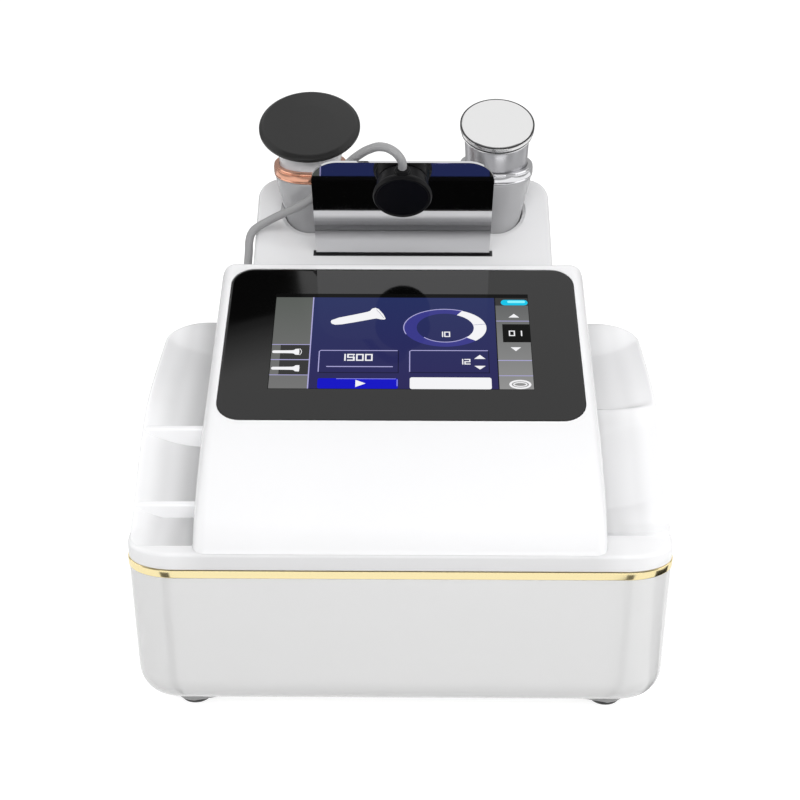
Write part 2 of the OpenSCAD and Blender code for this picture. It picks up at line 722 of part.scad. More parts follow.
// Toroidal output transformer
module output_transformer() {
    x = chassis_x - 52;
    y = chassis_y + 77;
    color([0.75, 0.45, 0.15]) translate([x, y, chassis_top]) {
        rotate_extrude() translate([17, 11]) rounded(15, 22, 4);
        cylinder(d = 8, h = 24);
        translate([0, 0, 22]) cylinder(d = 26, h = 2);
    }
}

// Fan frame behind the rear panel, with the fixed hub that carries the rotor's shaft
module fan_housing() {
    color([0.14, 0.14, 0.15]) translate([fan_x, panel_y - panel_t, panel_mid]) rotate([90, 0, 0])
        difference() {
            union() {
                difference() {
                    translate([0, 0, 0]) linear_extrude(fan_t) rounded(fan_side, fan_side, 4);
                    translate([0, 0, -1]) cylinder(d = fan_side - 4, h = fan_t + 2);
                }
                cylinder(d = 24, h = 3);
                for (a = [45:90:315]) rotate([0, 0, a]) translate([10, -1.5, 0]) cube([fan_side / 2 - 10.5, 3, 3]);
            }
            translate([0, 0, 1]) cylinder(d = 3 + 2 * shaft_fit, h = 4);
        }
}

// Fan rotor: hub, seven pitched blades and its shaft
module fan_rotor() {
    color([0.2, 0.2, 0.22]) translate([fan_x, panel_y - panel_t, panel_mid]) rotate([90, 0, 0]) {
        translate([0, 0, 1.4]) cylinder(d = 3, h = 4);
        translate([0, 0, 3.5]) cylinder(d = 24, h = fan_t - 4.5);
        for (a = [0:6]) rotate([0, 0, a * 360 / 7])
            translate([fan_side / 4 + 3.5, 0, fan_t / 2 + 1]) rotate([38, 0, 0])
                cube([fan_side / 2 - 15, 15, 1.2], center = true);
    }
}

// Wire guard over the fan, on the outside of the rear panel
module fan_guard() {
    color(steel) translate([fan_x, panel_y, panel_mid]) rotate([-90, 0, 0]) {
        for (r = [9, 16, 23]) rotate_extrude() translate([r, 1.6]) circle(d = 1.4, $fn = 16);
        for (a = [45:90:315]) rotate([0, 0, a]) translate([0, -0.7, 0.2]) cube([fan_side / 2, 1.4, 1.4]);
        for (a = [45:90:315]) rotate([0, 0, a]) translate([fan_side / 2, 0, 0]) cylinder(d = 5, h = 1.8);
    }
}

// Rear panel that carries the inlet, the switch, the sockets, the gland and the fan
module rear_panel() {
    color([0.8, 0.8, 0.81]) difference() {
        translate([0, panel_y - panel_t / 2, panel_mid])
            cube([panel_w, panel_t, panel_high - panel_low], center = true);
        translate([fan_x, panel_y + 1, panel_mid]) rotate([90, 0, 0]) cylinder(d = fan_side - 4, h = panel_t + 2);
        translate([inlet_x, panel_y - panel_t / 2, panel_mid]) cube([30.4, panel_t + 2, 42.4], center = true);
        translate([rocker_x, panel_y - panel_t / 2, panel_mid]) cube([14.4, panel_t + 2, 20.4], center = true);
        for (x = socket_xs)
            translate([x, panel_y + 1, panel_mid]) rotate([90, 0, 0]) cylinder(d = 14.2, h = panel_t + 2);
        translate([gland_x, panel_y + 1, gland_z]) rotate([90, 0, 0]) cylinder(d = 10.2, h = panel_t + 2);
        for (p = panel_screw_xz) translate([p[0], panel_y + 1, p[1]]) rotate([90, 0, 0])
            cylinder(d = screw_d + 2 * screw_fit, h = panel_t + 2);
    }
}

// Mains inlet with three contacts and the bay of the fuse drawer
module mains_inlet() {
    color(black) translate([inlet_x, panel_y, panel_mid]) {
        difference() {
            union() {
                translate([-17, 0, -23]) cube([34, 2, 46]);
                translate([-15, -24, -21]) cube([30, 24.5, 42]);
            }
            translate([-12, -14, -1]) cube([24, 20, 17]);
            translate([-12.3, -18.3, -16.3]) cube([24.6, 24, 8.6]);
        }
        for (x = [-7, 0, 7]) translate([x - 1, -15, 6 + (x == 0 ? 2 : -2)]) cube([2, 11, 4]);
    }
}

// Fuse drawer that slides out of the mains inlet
module fuse_drawer() {
    color([0.1, 0.1, 0.1]) translate([inlet_x, panel_y, panel_mid]) difference() {
        union() {
            translate([-12, -18, -16]) cube([24, 20, 8]);
            translate([-13, 2.1, -17]) cube([26, 1.2, 10]);
        }
        translate([-10.2, -15, -14.8]) cube([20.4, 5.8, 10]);
    }
}

// Fuse in the drawer
module fuse() {
    color([0.85, 0.85, 0.8]) translate([inlet_x - 10, panel_y - 12.1, panel_mid - 12]) rotate([0, 90, 0])
        cylinder(d = 5.2, h = 20);
}

// Frame of the mains switch, with the bores of its pivot
module rocker_frame() {
    color(black) translate([rocker_x, panel_y, panel_mid]) difference() {
        union() {
            translate([-8.5, 0, -11.5]) cube([17, 1.6, 23]);
            translate([-7, -18, -10]) cube([14, 18.5, 20]);
        }
        translate([-6, -15.5, -9]) cube([12, 20, 18]);
        translate([-7.2, rocker_axis_y - panel_y, 0]) rotate([0, 90, 0])
            cylinder(d = 2 + 2 * shaft_fit, h = 14.4);
    }
}

// Rocker of the mains switch, dished and resting with its lower half pressed in
module rocker_switch() {
    color([0.15, 0.15, 0.16]) translate([rocker_x, rocker_axis_y, panel_mid]) rotate([-rocker_throw, 0, 0]) {
        translate([-5.7, 0, 0]) rotate([90, 0, 90]) linear_extrude(11.4) difference() {
            circle(r = rocker_r);
            polygon([[5.6, 0], [12, 12], [7.6, 12]]);
            polygon([[5.6, 0], [12, -12], [7.6, -12]]);
            polygon([[5.6, 0], [12, 12], [12, -12]]);
        }
        translate([-6.8, 0, 0]) rotate([0, 90, 0]) cylinder(d = 2, h = 13.6);
    }
}

// Two round sockets for the handpieces' leads
module handpiece_sockets() {
    color(steel) for (x = socket_xs) translate([x, panel_y, panel_mid]) rotate([90, 0, 0]) difference() {
        union() {
            translate([0, 0, -2.4]) cylinder(d = 18, h = 2.4);
            cylinder(d = 14, h = 18);
        }
        translate([0, 0, -3.4]) cylinder(d = 10.5, h = 15.4);
    }
}

// Rubber feet, let into their mounts
module rubber_feet() {
    color([0.12, 0.12, 0.12]) for (p = foot_xy) translate([p[0], p[1], 0]) difference() {
        union() {
            cylinder(d1 = foot_d - 2, d2 = foot_d, h = 1.5);
            translate([0, 0, 1.5]) cylinder(d = foot_d, h = z_tub - 1.5);
        }
        translate([0, 0, -1]) cylinder(d = 9, h = 4);
        translate([0, 0, -1]) cylinder(d = screw_d + 0.4, h = z_tub + 2);
    }
}

// Oblong mounts round the feet
module foot_mounts() {
    color([0.7, 0.7, 0.7]) for (p = foot_xy) difference() {
        hull() {
            translate([p[0], p[1], z_tub - 3.5]) cylinder(d = foot_d + 4, h = 3.5);
            translate([p[0] - sign(p[0]) * 14, p[1], z_tub - 3.5]) cylinder(d = foot_d - 4, h = 3.5);
        }
        translate([p[0], p[1], 0]) cylinder(d = foot_d + 0.2, h = z_tub + 1);
    }
}

module screw(head_d, head_h, length) {
    cylinder(d = head_d, h = head_h);
    cylinder(d = screw_d, h = head_h + length);
}

// Screws of the feet
module foot_screws() {
    color(screw_steel) for (p = foot_xy) translate([p[0], p[1], 0.6]) screw(7.5, 2.4, z_tub + 3.5);
}

// Screws from the tub's posts up into the shell
module case_screws() {
    color(screw_steel) for (p = case_screw_xy) translate([p[0], p[1], screw_seat - 2.4]) screw(6, 2.4, 28);
}

// Screws from the shell up into the console and the deck, and down into the chassis bosses
module cover_screws() {
    color(screw_steel) {
        for (p = concat(console_boss_xy, deck_boss_xy))
            translate([p[0], p[1], z_top - wall - 2.2]) screw(6, 2.2, wall + 7);
        for (p = chassis_xy) translate([p[0], p[1], chassis_top + 2.2]) mirror([0, 0, 1]) screw(6, 2.2, 5.5);
    }
}

// Screws of the rear panel, sunk in the tub's rear wall
module panel_screws() {
    color(screw_steel) for (p = panel_screw_xz)
        translate([p[0], y_rear - 0.1, p[1]]) rotate([90, 0, 0]) screw(6, 1.6, wall + panel_t + 1);
}

// Tapered grip, hollow, with the seat of the contact socket at its top
module grip(side) {
    color([0.86, 0.86, 0.87]) in_holder(side) rotate_extrude() polygon([
        [11.5, -grip_below], [grip_r - 3.4, -grip_below], [grip_r - 2.4, -grip_below + 6],
        [grip_r - 2.1, -grip_below * 0.5], [grip_r - 1.5, -14], [grip_r, 0], [grip_r + 1.9, 9],
        [collar_r - 2, grip_top - 6], [collar_r - 1, grip_top - 1], [collar_r - 1, grip_top],
        [collar_seat - 1.3, grip_top], [collar_seat - 1.3, 10], [14, 8], [11.5, 4]]);
}
module left_grip() { grip(-1); }
module right_grip() { grip(1); }

// Metal collar at the top of a grip
module collar(side) {
    in_holder(side) translate([0, 0, grip_top]) rotate_extrude() difference() {
        union() {
            translate([0, 0.8]) square([collar_r, collar_h - 2]);
            square([collar_r - 0.8, collar_h]);
        }
        translate([-1, -1]) square([collar_seat + 1, collar_h + 2]);
    }
}
module left_collar() { color([0.85, 0.55, 0.42]) collar(-1); }
module right_collar() { color([0.8, 0.8, 0.82]) collar(1); }

// Insulated socket in the grip that takes the electrode's contact stud
module contact_socket(side) {
    color([0.2, 0.2, 0.2]) in_holder(side) difference() {
        union() {
            translate([0, 0, 10]) cylinder(r = collar_seat - 1.4, h = grip_top - 10);
            translate([0, 0, grip_top]) cylinder(r = collar_seat - 0.1, h = 6);
        }
        translate([0, 0, grip_top + 6 - stud_len - 1]) cylinder(d = stud_d + 2 * stud_fit, h = stud_len + 2);
    }
}
module left_contact_socket() { contact_socket(-1); }
module right_contact_socket() { contact_socket(1); }

// End cap of a grip, with the inlet of its lead
module end_cap(side) {
    color([0.3, 0.3, 0.32]) in_holder(side) difference() {
        union() {
            translate([0, 0, -grip_below - cap_t]) cylinder(r = grip_r - 3.6, h = cap_t);
            translate([0, 0, -grip_below]) cylinder(r = 11.4, h = 5);
        }
        translate([0, 0, -grip_below - cap_t - 1]) cylinder(d = 6, h = cap_t + 7);
    }
}
module left_end_cap() { end_cap(-1); }
module right_end_cap() { end_cap(1); }

// Places its children on an electrode's face, which tilts towards the front
module on_head(side) {
    in_holder(side) translate([0, 0, head_h]) rotate([head_tilt, 0, 0]) children();
}

// Disc electrode with a rounded rim
module electrode_disc(r, t, round) {
    rotate_extrude() {
        translate([0, -t]) square([r - round, t]);
        translate([0, -t + round]) square([r, t - 2 * round]);
        translate([r - round, -round]) circle(r = round, $fn = 32);
        translate([r - round, -t + round]) circle(r = round, $fn = 32);
    }
}
module left_electrode_disc() { color(black) on_head(-1) electrode_disc(disc_r, disc_t, 2); }
module right_electrode_disc() { color([0.85, 0.85, 0.87]) on_head(1) electrode_disc(dome_r, dome_t, 2); }

// Flared neck between a collar and its electrode
module electrode_neck(side, r, t) {
    difference() {
        union() {
            in_holder(side) translate([0, 0, neck_base]) cylinder(r = collar_seat - gap, h = neck_low + 0.5);
            hull() {
                in_holder(side) translate([0, 0, neck_base + neck_low])
                    cylinder(r = collar_seat - gap - 1, h = 1, $fn = 32);
                on_head(side) translate([0, 0, -t - 2]) cylinder(r = r, h = 2, $fn = 32);
            }
        }
        in_holder(side) translate([0, 0, neck_base - 1]) cylinder(d = stud_d + 0.04, h = 6);
    }
}
module left_electrode_neck() { color([0.9, 0.9, 0.9]) electrode_neck(-1, disc_r - 7, disc_t); }
module right_electrode_neck() { color([0.8, 0.8, 0.82]) electrode_neck(1, dome_r - 2, dome_t); }

// Contact stud under an electrode's neck
module contact_stud(side) {
    color([0.83, 0.68, 0.35]) in_holder(side) translate([0, 0, grip_top + 6 - stud_len])
        cylinder(d = stud_d, h = stud_len + gap + 5);
}
module left_contact_stud() { contact_stud(-1); }
module right_contact_stud() { contact_stud(1); }

// Places its children on the middle of the plate's front, looking out along the knob
module on_plate() {
    on_deck() translate([0, plate_at, knob_h]) rotate([90, 0, 0]) children();
}

// Polished return plate with rounded top corners
module return_plate() {
    low = -slot_depth + gap;
    color(steel) difference() {
        on_deck() translate([0, plate_at + plate_t, 0]) rotate([90, 0, 0]) linear_extrude(plate_t) {
            translate([-plate_w / 2, low]) square([plate_w, plate_h - plate_r - low]);
            translate([-plate_w / 2 + plate_r, low]) square([plate_w - 2 * plate_r, plate_h - low]);
            for (sx = [-1, 1]) translate([sx * (plate_w / 2 - plate_r), plate_h - plate_r]) circle(r = plate_r);
        }
        on_plate() translate([0, 0, -plate_t - 1]) cylinder(d = 6.2, h = plate_t + 2);
    }
}

// Round connector on the plate, with a stub on top for the lead
module connector_knob() {
    color(black) on_plate() difference() {
        union() {
            cylinder(r = knob_r - 1, h = 1);
            translate([0, 0, 1]) cylinder(r = knob_r, h = knob_l - 5);
            translate([0, 0, knob_l - 4]) cylinder(r1 = knob_r, r2 = knob_r + 1.5, h = 1);
            translate([0, 0, knob_l - 3]) cylinder(r = knob_r + 1.5, h = 1.8);
            translate([0, 0, knob_l - 1.2]) cylinder(r1 = knob_r + 1.5, r2 = knob_r + 0.5, h = 1.2);
            translate([0, 0, knob_l / 2]) rotate([-90, 0, 0]) cylinder(d = lead_d + 2.4, h = 20);
        }
        translate([0, 0, knob_l - 0.8]) cylinder(r = knob_r - 0.7, h = 1);
        translate([0, 0, -1]) cylinder(d = 6.2, h = 6);
    }
}

// Stud and nut that hold the connector to the plate
module knob_stud() {
    color(screw_steel) on_plate() {
        translate([0, 0, -plate_t - 2]) cylinder(d = 6, h = plate_t + 6.5);
        translate([0, 0, -plate_t - 3]) cylinder(d = 12, h = 3, $fn = 6);
    }
}

// Gland that the lead enters the machine by
module lead_gland() {
    color([0.15, 0.15, 0.16]) translate([gland_x, panel_y, gland_z]) rotate([-90, 0, 0]) {
        difference() {
            union() {
                cylinder(d = 16, h = 6, $fn = 6);
                translate([0, 0, 6]) cylinder(d1 = 12, d2 = lead_d + 2, h = 15);
                translate([0, 0, -panel_t - 5]) cylinder(d = 10, h = panel_t + 5);
                translate([0, 0, -panel_t - 4]) cylinder(d = 15, h = 4, $fn = 6);
            }
            translate([0, 0, -far / 2]) cylinder(d = 3, h = far);
        }
    }
}

// Lead: the loop on the plate, the stretch over the deck and the case, the coil and the tail
module lead_loop() {
    color([0.6, 0.6, 0.62]) tube([for (p = loop_points) on_deck_point(p)], lead_d, 10);
}
module lead_run() { color([0.6, 0.6, 0.62]) tube(lead_path_run, lead_d, 10); }
module lead_coil() { color([0.6, 0.6, 0.62]) tube(coil_line, lead_d, 6); }
module lead_tail() { color([0.6, 0.6, 0.62]) tube(tail_points, lead_d, 10); }

base_tub();
gold_trim_band();
upper_shell();
console_cover();
rear_deck();
screen_glass();
glass_gasket();
display_panel();
display_frame();
control_board();
board_standoffs();
speaker();
left_holder_cup();
right_holder_cup();
plate_slot_liner();
chassis_plate();
power_supply();
generator_board();
heat_sink();
output_transformer();
fan_housing();
fan_rotor();
fan_guard();
rear_panel();
mains_inlet();
fuse_drawer();
fuse();
rocker_frame();
rocker_switch();
handpiece_sockets();
rubber_feet();
foot_mounts();
foot_screws();
case_screws();
cover_screws();
panel_screws();
left_grip();
left_collar();
left_contact_socket();
left_end_cap();
left_electrode_disc();
left_electrode_neck();
left_contact_stud();
right_grip();
right_collar();
right_contact_socket();
right_end_cap();
right_electrode_disc();
right_electrode_neck();
right_contact_stud();
return_plate();
connector_knob();
knob_stud();
lead_gland();
lead_loop();
lead_run();
lead_coil();
lead_tail();
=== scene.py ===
"""Looks of a table-top diathermy machine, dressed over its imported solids.

Shapes are worked out in millimetres, with X to the right, Y to the rear and Z up from the table.
"""
import math

import bmesh
import bpy
import numpy as np
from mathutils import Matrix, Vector


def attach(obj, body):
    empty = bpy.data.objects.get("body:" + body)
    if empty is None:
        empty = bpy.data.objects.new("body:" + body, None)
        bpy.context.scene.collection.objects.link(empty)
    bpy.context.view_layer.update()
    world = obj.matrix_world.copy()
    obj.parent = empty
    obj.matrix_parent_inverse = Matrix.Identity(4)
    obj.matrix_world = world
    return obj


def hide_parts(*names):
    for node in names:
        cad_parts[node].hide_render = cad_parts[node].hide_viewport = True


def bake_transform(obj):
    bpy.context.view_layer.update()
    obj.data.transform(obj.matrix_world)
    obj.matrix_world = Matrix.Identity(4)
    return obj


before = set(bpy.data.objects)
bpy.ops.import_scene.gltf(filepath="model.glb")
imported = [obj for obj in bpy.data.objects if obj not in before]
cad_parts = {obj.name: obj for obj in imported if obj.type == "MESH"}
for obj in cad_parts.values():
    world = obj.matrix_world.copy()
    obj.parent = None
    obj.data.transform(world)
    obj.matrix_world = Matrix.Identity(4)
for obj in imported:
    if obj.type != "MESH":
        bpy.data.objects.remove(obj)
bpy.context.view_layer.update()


def placed(name, data):
    """A new object at the origin that shows some data."""
    made = bpy.data.objects.new(name, data)
    bpy.context.scene.collection.objects.link(made)
    return made


# Camera
# Stands 0.8 m in front of the machine's middle and 0.57 m above the table, within a centimetre of its middle
# line, and looks 28 degrees down.
camera = placed("camera", bpy.data.cameras.new("camera"))
camera.data.lens = 67.5
camera.data.sensor_width = 36
camera.data.clip_start = 0.05
camera.location = (0.006, -0.81765, 0.57168)
camera.rotation_euler = (math.radians(62), 0, math.radians(0.5))
bpy.context.scene.camera = camera

# Return lead
# A limp grey cable with a soft jacket. It leaves the machine by a ribbed gland at the rear, is wound into a coil
# behind it, comes over the deck and ends in the round black connector on the return plate.
MM = 0.001
LEAD_D = 5.3
COIL_X, COIL_Y = -66, 205
GLAND_X, GLAND_Y, GLAND_Z = -26, 139, 52
# The front edge of the deck's sloping top, and its tilt.
DECK_Y, DECK_Z, DECK_TILT = 61.0, 191.477, math.radians(27.7)


def on_slope(points, y, z, tilt):
    """Points across, up a slope and off its surface, turned by its tilt and moved to its front edge."""
    x, up, off = np.moveaxis(np.asarray(points, float), -1, 0)
    return np.stack([x, y + up * math.cos(tilt) - off * math.sin(tilt),
                     z + up * math.sin(tilt) + off * math.cos(tilt)], -1)


def on_deck(points):
    """Points across, up and off the rear deck's slope, turned into the machine's frame."""
    return on_slope(points, DECK_Y, DECK_Z, DECK_TILT)


def eased(t):
    """Goes from 0 to 1 as t does, level at both ends: t squared times 3 - 2 t."""
    t = np.clip(t, 0, 1)
    return t * t * (3 - 2 * t)


def coil_route(turns=3, outer=40.0, pitch=5.9, steps=24):
    """The radius falls a pitch a turn, the line climbs a pitch in half a turn, and the radius grows again."""
    t = np.arange(0, (2 * turns + 0.5) * steps + 1) / steps
    inner = outer - turns * pitch
    r = np.where(t < turns, outer - pitch * t, inner + pitch * (t - turns - 0.5))
    climbing = (t >= turns) & (t < turns + 0.5)
    r = np.where(climbing, inner - pitch / (2 * np.pi) * np.sin(2 * np.pi * (t - turns)), r)
    angle = np.pi - 2 * np.pi * t
    return np.stack([COIL_X + r * np.cos(angle), COIL_Y + r * np.sin(angle),
                     LEAD_D / 2 + pitch * eased((t - turns) / 0.5)], -1)


lead_loop = on_deck([
    [0, 14.2, 87.5], [0, 14.2, 91], [-1.7, 15, 95.6], [-6.2, 17, 99.4], [-12.3, 20, 99], [-19.5, 23.3, 93.6],
    [-27, 26.3, 84.6], [-31.5, 28, 78], [-41, 30.8, 62.5], [-49.5, 32.5, 49.5]])
lead_deck = on_deck([
    [-56, 33.8, 39.56], [-63, 35.6, 31], [-72, 37.8, 22.4], [-81.5, 39.5, 14.4],
    [-88.5, 39.9, 8.6], [-93.5, 39.2, 5.4], [-97.8, 36.8, 2.4], [-99.9, 33, -2]])
lead_case = np.array([
    [-100.3, 89.5, 199], [-101.2, 86.6, 189.7], [-102, 82.2, 176], [-102, 78.6, 162], [-102, 76.4, 147],
    [-102.5, 76.6, 133], [-103.5, 83, 122.5], [-104.5, 93, 119.8], [-105.5, 108, 119.7]] + [
    [-106, y, z] for y, z in [
        (122, 119.7), (133, 119.8), (140.5, 120.1), (145.2, 117.8), (148.5, 113), (151.5, 106), (152.5, 92),
        (152.5, 76), (152.5, 60), (153, 44), (154.5, 30), (159, 17), (167, 8), (178, 3.6), (189, 2.65),
        (199.7, 2.65)]])
lead_tail = np.array([
    [GLAND_X, y, z] for y, z in [(199.7, 8.55), (194.4, 8.55), (188, 11.5), (182.5, 19), (179, 29), (175, 40),
                                 (170.5, 48.5), (165.5, GLAND_Z), (160, GLAND_Z)]])
route = np.concatenate([lead_loop, lead_deck, lead_case, coil_route(), lead_tail])[::-1] * MM

lead_curve = bpy.data.curves.new("return_lead", "CURVE")
lead_curve.dimensions = "3D"
lead_curve.resolution_u = 5
lead_line = lead_curve.splines.new("BEZIER")
lead_line.bezier_points.add(len(route) - 1)
lead_line.bezier_points.foreach_set("co", route.ravel())
for knot in lead_line.bezier_points:
    knot.handle_left_type = knot.handle_right_type = "AUTO"
lead_former = placed("return_lead_line", lead_curve)
bpy.context.view_layer.update()
lead_path = [list(vert.co) for vert in bpy.data.meshes.new_from_object(lead_former).vertices]
lead_curve.bevel_depth = LEAD_D / 2 * MM
lead_curve.bevel_resolution = 6
lead_curve.use_fill_caps = True
bpy.context.view_layer.update()
return_lead = placed("return_lead", bpy.data.meshes.new_from_object(lead_former))
bpy.data.objects.remove(lead_former)


def set_sockets(node, values):
    """Writes plain values on a node's inputs, each by its name or number."""
    for socket, value in values.items():
        node.inputs[socket].default_value = value


def new_finish(name):
    """An empty material with its nodes, links and shader."""
    made = bpy.data.materials.new(name)
    made.use_nodes = True
    return made, made.node_tree.nodes, made.node_tree.links, made.node_tree.nodes["Principled BSDF"]


def finish_of(name, color, roughness, metallic=0.0, cloud=0.03, shade=0.03, grain=0.04, grain_scale=1100.0,
              coat=0.0, gloss_level=0.5):
    """A procedural finish: broad noise moves the gloss and the shade a little, fine noise gives the bump."""
    made, nodes, links, shader = new_finish(name)
    place = nodes.new("ShaderNodeTexCoord")
    broad = nodes.new("ShaderNodeTexNoise")
    set_sockets(broad, {"Scale": 17, "Detail": 3})
    links.new(place.outputs["Object"], broad.inputs["Vector"])
    gloss = nodes.new("ShaderNodeMapRange")
    set_sockets(gloss, {"From Min": 0.3, "From Max": 0.7,
                        "To Min": max(roughness - cloud, 0.0), "To Max": roughness + cloud})
    links.new(broad.outputs["Fac"], gloss.inputs["Value"])
    links.new(gloss.outputs["Result"], shader.inputs["Roughness"])
    tint = nodes.new("ShaderNodeMix")
    tint.data_type = "RGBA"
    set_sockets(tint, {6: (*[c * (1 - shade) for c in color], 1), 7: (*color, 1)})
    links.new(broad.outputs["Fac"], tint.inputs[0])
    links.new(tint.outputs[2], shader.inputs["Base Color"])
    fine = nodes.new("ShaderNodeTexNoise")
    set_sockets(fine, {"Scale": grain_scale, "Detail": 2})
    links.new(place.outputs["Object"], fine.inputs["Vector"])
    bump = nodes.new("ShaderNodeBump")
    set_sockets(bump, {"Strength": grain, "Distance": 0.0002})
    links.new(fine.outputs["Fac"], bump.inputs["Height"])
    links.new(bump.outputs["Normal"], shader.inputs["Normal"])
    set_sockets(shader, {"Metallic": metallic, "Specular IOR Level": gloss_level, "Coat Weight": coat,
                         "Coat Roughness": 0.06})
    return made


def polished(name, color, roughness, cloud=0.02, shade=0.02):
    """A polished metal, with no grain."""
    return finish_of(name, color, roughness, metallic=1.0, cloud=cloud, shade=shade, grain=0.0)


def glossy_moulding(name, grey, roughness, coat=0.3, grain=0.01):
    """A smooth plastic of one cool grey under a clear coat."""
    return finish_of(name, (grey, grey, grey + 0.01), roughness, shade=0.01, grain=grain, coat=coat)


def give_finish(piece, finish):
    """Puts one finish in place of those that a piece has."""
    piece.data.materials.clear()
    piece.data.materials.append(finish)


def dress(piece, finish, body, *nodes, slot=None):
    """Gives a piece its finish and its body, and hides the nodes it stands for. The slot is not used."""
    give_finish(piece, finish)
    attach(piece, body)
    if nodes:
        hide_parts(*nodes)


give_finish(return_lead, finish_of("soft_grey_jacket", (0.3, 0.3, 0.305), 0.42, cloud=0.05, grain=0.12,
                                   grain_scale=1600))
return_lead.data.shade_smooth()


def smooth_to_edges(mesh):
    """Smooth shading, but sharp where two faces meet at more than 38 degrees."""
    mesh.shade_smooth()
    mesh.set_sharp_from_angle(angle=math.radians(38))


def solid(name, points, faces):
    """A closed mesh from points in millimetres: doubles merged, faces turned outwards."""
    mesh = bpy.data.meshes.new(name)
    mesh.from_pydata((np.asarray(points).reshape(-1, 3) * MM).tolist(), [], faces)
    work = bmesh.new()
    work.from_mesh(mesh)
    bmesh.ops.remove_doubles(work, verts=work.verts, dist=2e-6)
    bmesh.ops.recalc_face_normals(work, faces=work.faces)
    work.to_mesh(mesh)
    work.free()
    smooth_to_edges(mesh)
    return placed(name, mesh)


def ring_faces(rows, count, start=0, closed=False):
    """Faces between rings of equal count, with a cap on the first and the last or joined into one loop."""
    index = start + np.arange(rows * count).reshape(rows, count)
    if closed:
        index = np.concatenate([index, index[:1]])
    across = np.roll(index, -1, 1)
    faces = np.stack([index[:-1], across[:-1], across[1:], index[1:]], -1).reshape(-1, 4).tolist()
    return faces if closed else faces + [index[0].tolist(), index[-1][::-1].tolist()]


def solid_of_rings(name, capped=(), loops=()):
    """A solid from sets of rings: capped at the first and last ring, or looped from the last to the first."""
    points, faces, at = [], [], 0
    for rings, closed in [(rings, False) for rings in capped] + [(rings, True) for rings in loops]:
        faces += ring_faces(*rings.shape[:2], at, closed)
        points.append(rings.reshape(-1, 3))
        at += len(points[-1])
    return solid(name, np.concatenate(points), faces)


def full_turn(count):
    """Even angles once round a circle."""
    return np.linspace(0, 2 * np.pi, count, endpoint=False)


def turned(profile, count, centre, axis=(0, 0, 1), side=(1, 0, 0)):
    """A profile of radius and height turned about an axis through a centre, as rings of points."""
    axis, side = np.asarray(axis, float), np.asarray(side, float)
    third = np.cross(axis, side)
    r, h = np.asarray(profile, float).T
    a = full_turn(count)
    way = np.cos(a)[:, None] * side + np.sin(a)[:, None] * third
    return np.asarray(centre) + r[:, None, None] * way[None] + h[:, None, None] * axis


def rounded_path(points, steps=6):
    """A polyline whose corners carry a radius as third number, with each such corner turned into an arc."""
    points = [np.asarray(p, float) for p in points]
    out = []
    for i, p in enumerate(points):
        if len(p) < 3 or i in (0, len(points) - 1):
            out.append(p[:2])
            continue
        a, b = points[i - 1][:2] - p[:2], points[i + 1][:2] - p[:2]
        la, lb = np.linalg.norm(a), np.linalg.norm(b)
        half = math.acos(np.clip(a @ b / (la * lb), -1, 1)) / 2
        reach = min(p[2] / math.tan(half), 0.49 * la, 0.49 * lb)
        start, end = p[:2] + a / la * reach, p[:2] + b / lb * reach
        t = np.linspace(0, 1, steps)[:, None]
        out += list((1 - t) ** 2 * start + 2 * t * (1 - t) * p[:2] + t ** 2 * end)
    return np.array(out)


gland_rings = turned(rounded_path([
    (0.5, 21), (2.7, 21, 0.5), (3.7, 20.4, 0.4), (3.8, 18.5, 0.3), (3.3, 18, 0.3), (3.4, 16.8, 0.3),
    (4.1, 16.3, 0.3), (4.2, 14.5, 0.3), (3.7, 14, 0.3), (3.8, 12.8, 0.3), (4.6, 12.3, 0.3), (4.8, 10.5, 0.3),
    (4.2, 10, 0.3), (4.3, 8.8, 0.3), (5.6, 8.2, 0.4), (6, 6, 0.3), (6.6, 6, 0.3), (6.6, -6), (0.5, -6)], 3),
    64, (GLAND_X, GLAND_Y, GLAND_Z), (0, 1, 0))
# The gland's nut: six flats, with the corners turned down at both ends.
nut_turn = full_turn(64)
nut_r = 6.93 / np.cos((nut_turn + np.pi / 6) % (np.pi / 3) - np.pi / 6)
nut_rings = np.array([
    np.stack([GLAND_X + k * r * np.cos(nut_turn), np.full(64, y), GLAND_Z + k * r * np.sin(nut_turn)], -1)
    for k, r, y in [(0.6, nut_r, 145), (1, np.minimum(nut_r, 7.3), 145), (1, np.minimum(nut_r, 7.75), 144.4),
                    (1, nut_r, 143.6), (1, nut_r, 139.5), (1, np.minimum(nut_r, 7.6), 139), (0.6, nut_r, 139)]])
gland = solid_of_rings("lead_gland_boot", [gland_rings, nut_rings])
moulded_black = finish_of("moulded_black", (0.012, 0.012, 0.013), 0.38, cloud=0.05, grain=0.15,
                          grain_scale=1400)
dress(gland, moulded_black, "machine", "lead_gland")

# The plate's place up the deck's slope, and the connector's height off the deck.
PLATE_AT, KNOB_OFF = 20.7, 67.5
knob_axis = np.array([0, -math.cos(DECK_TILT), -math.sin(DECK_TILT)])
knob_up = np.array([0, -math.sin(DECK_TILT), math.cos(DECK_TILT)])
knob_centre = on_deck([0, PLATE_AT, KNOB_OFF])
knob_rings = turned(rounded_path([
    (0, 0), (15.2, 0, 0.4), (15.7, 0.8, 0.5), (16.2, 8, 2), (17.8, 9.6, 1), (18, 11, 0.9), (17.1, 12.9, 0.9),
    (16.2, 13, 0.4), (15.7, 12.4, 0.4), (12, 12.3, 1), (9, 12.2, 1), (0, 12.1)], 5),
    128, knob_centre, knob_axis)
boot_rings = turned(rounded_path([
    (0, 12), (5.4, 12, 0.6), (5.2, 16.6, 0.5), (4.5, 17.2, 0.4), (4.4, 18.6, 0.3), (3.9, 18.9, 0.2),
    (3.9, 19.6, 0.2), (2.7, 20, 0.4), (0, 20)], 4), 64, knob_centre + 6.5 * knob_axis, knob_up)
knob = solid_of_rings("connector_body", [knob_rings, boot_rings])
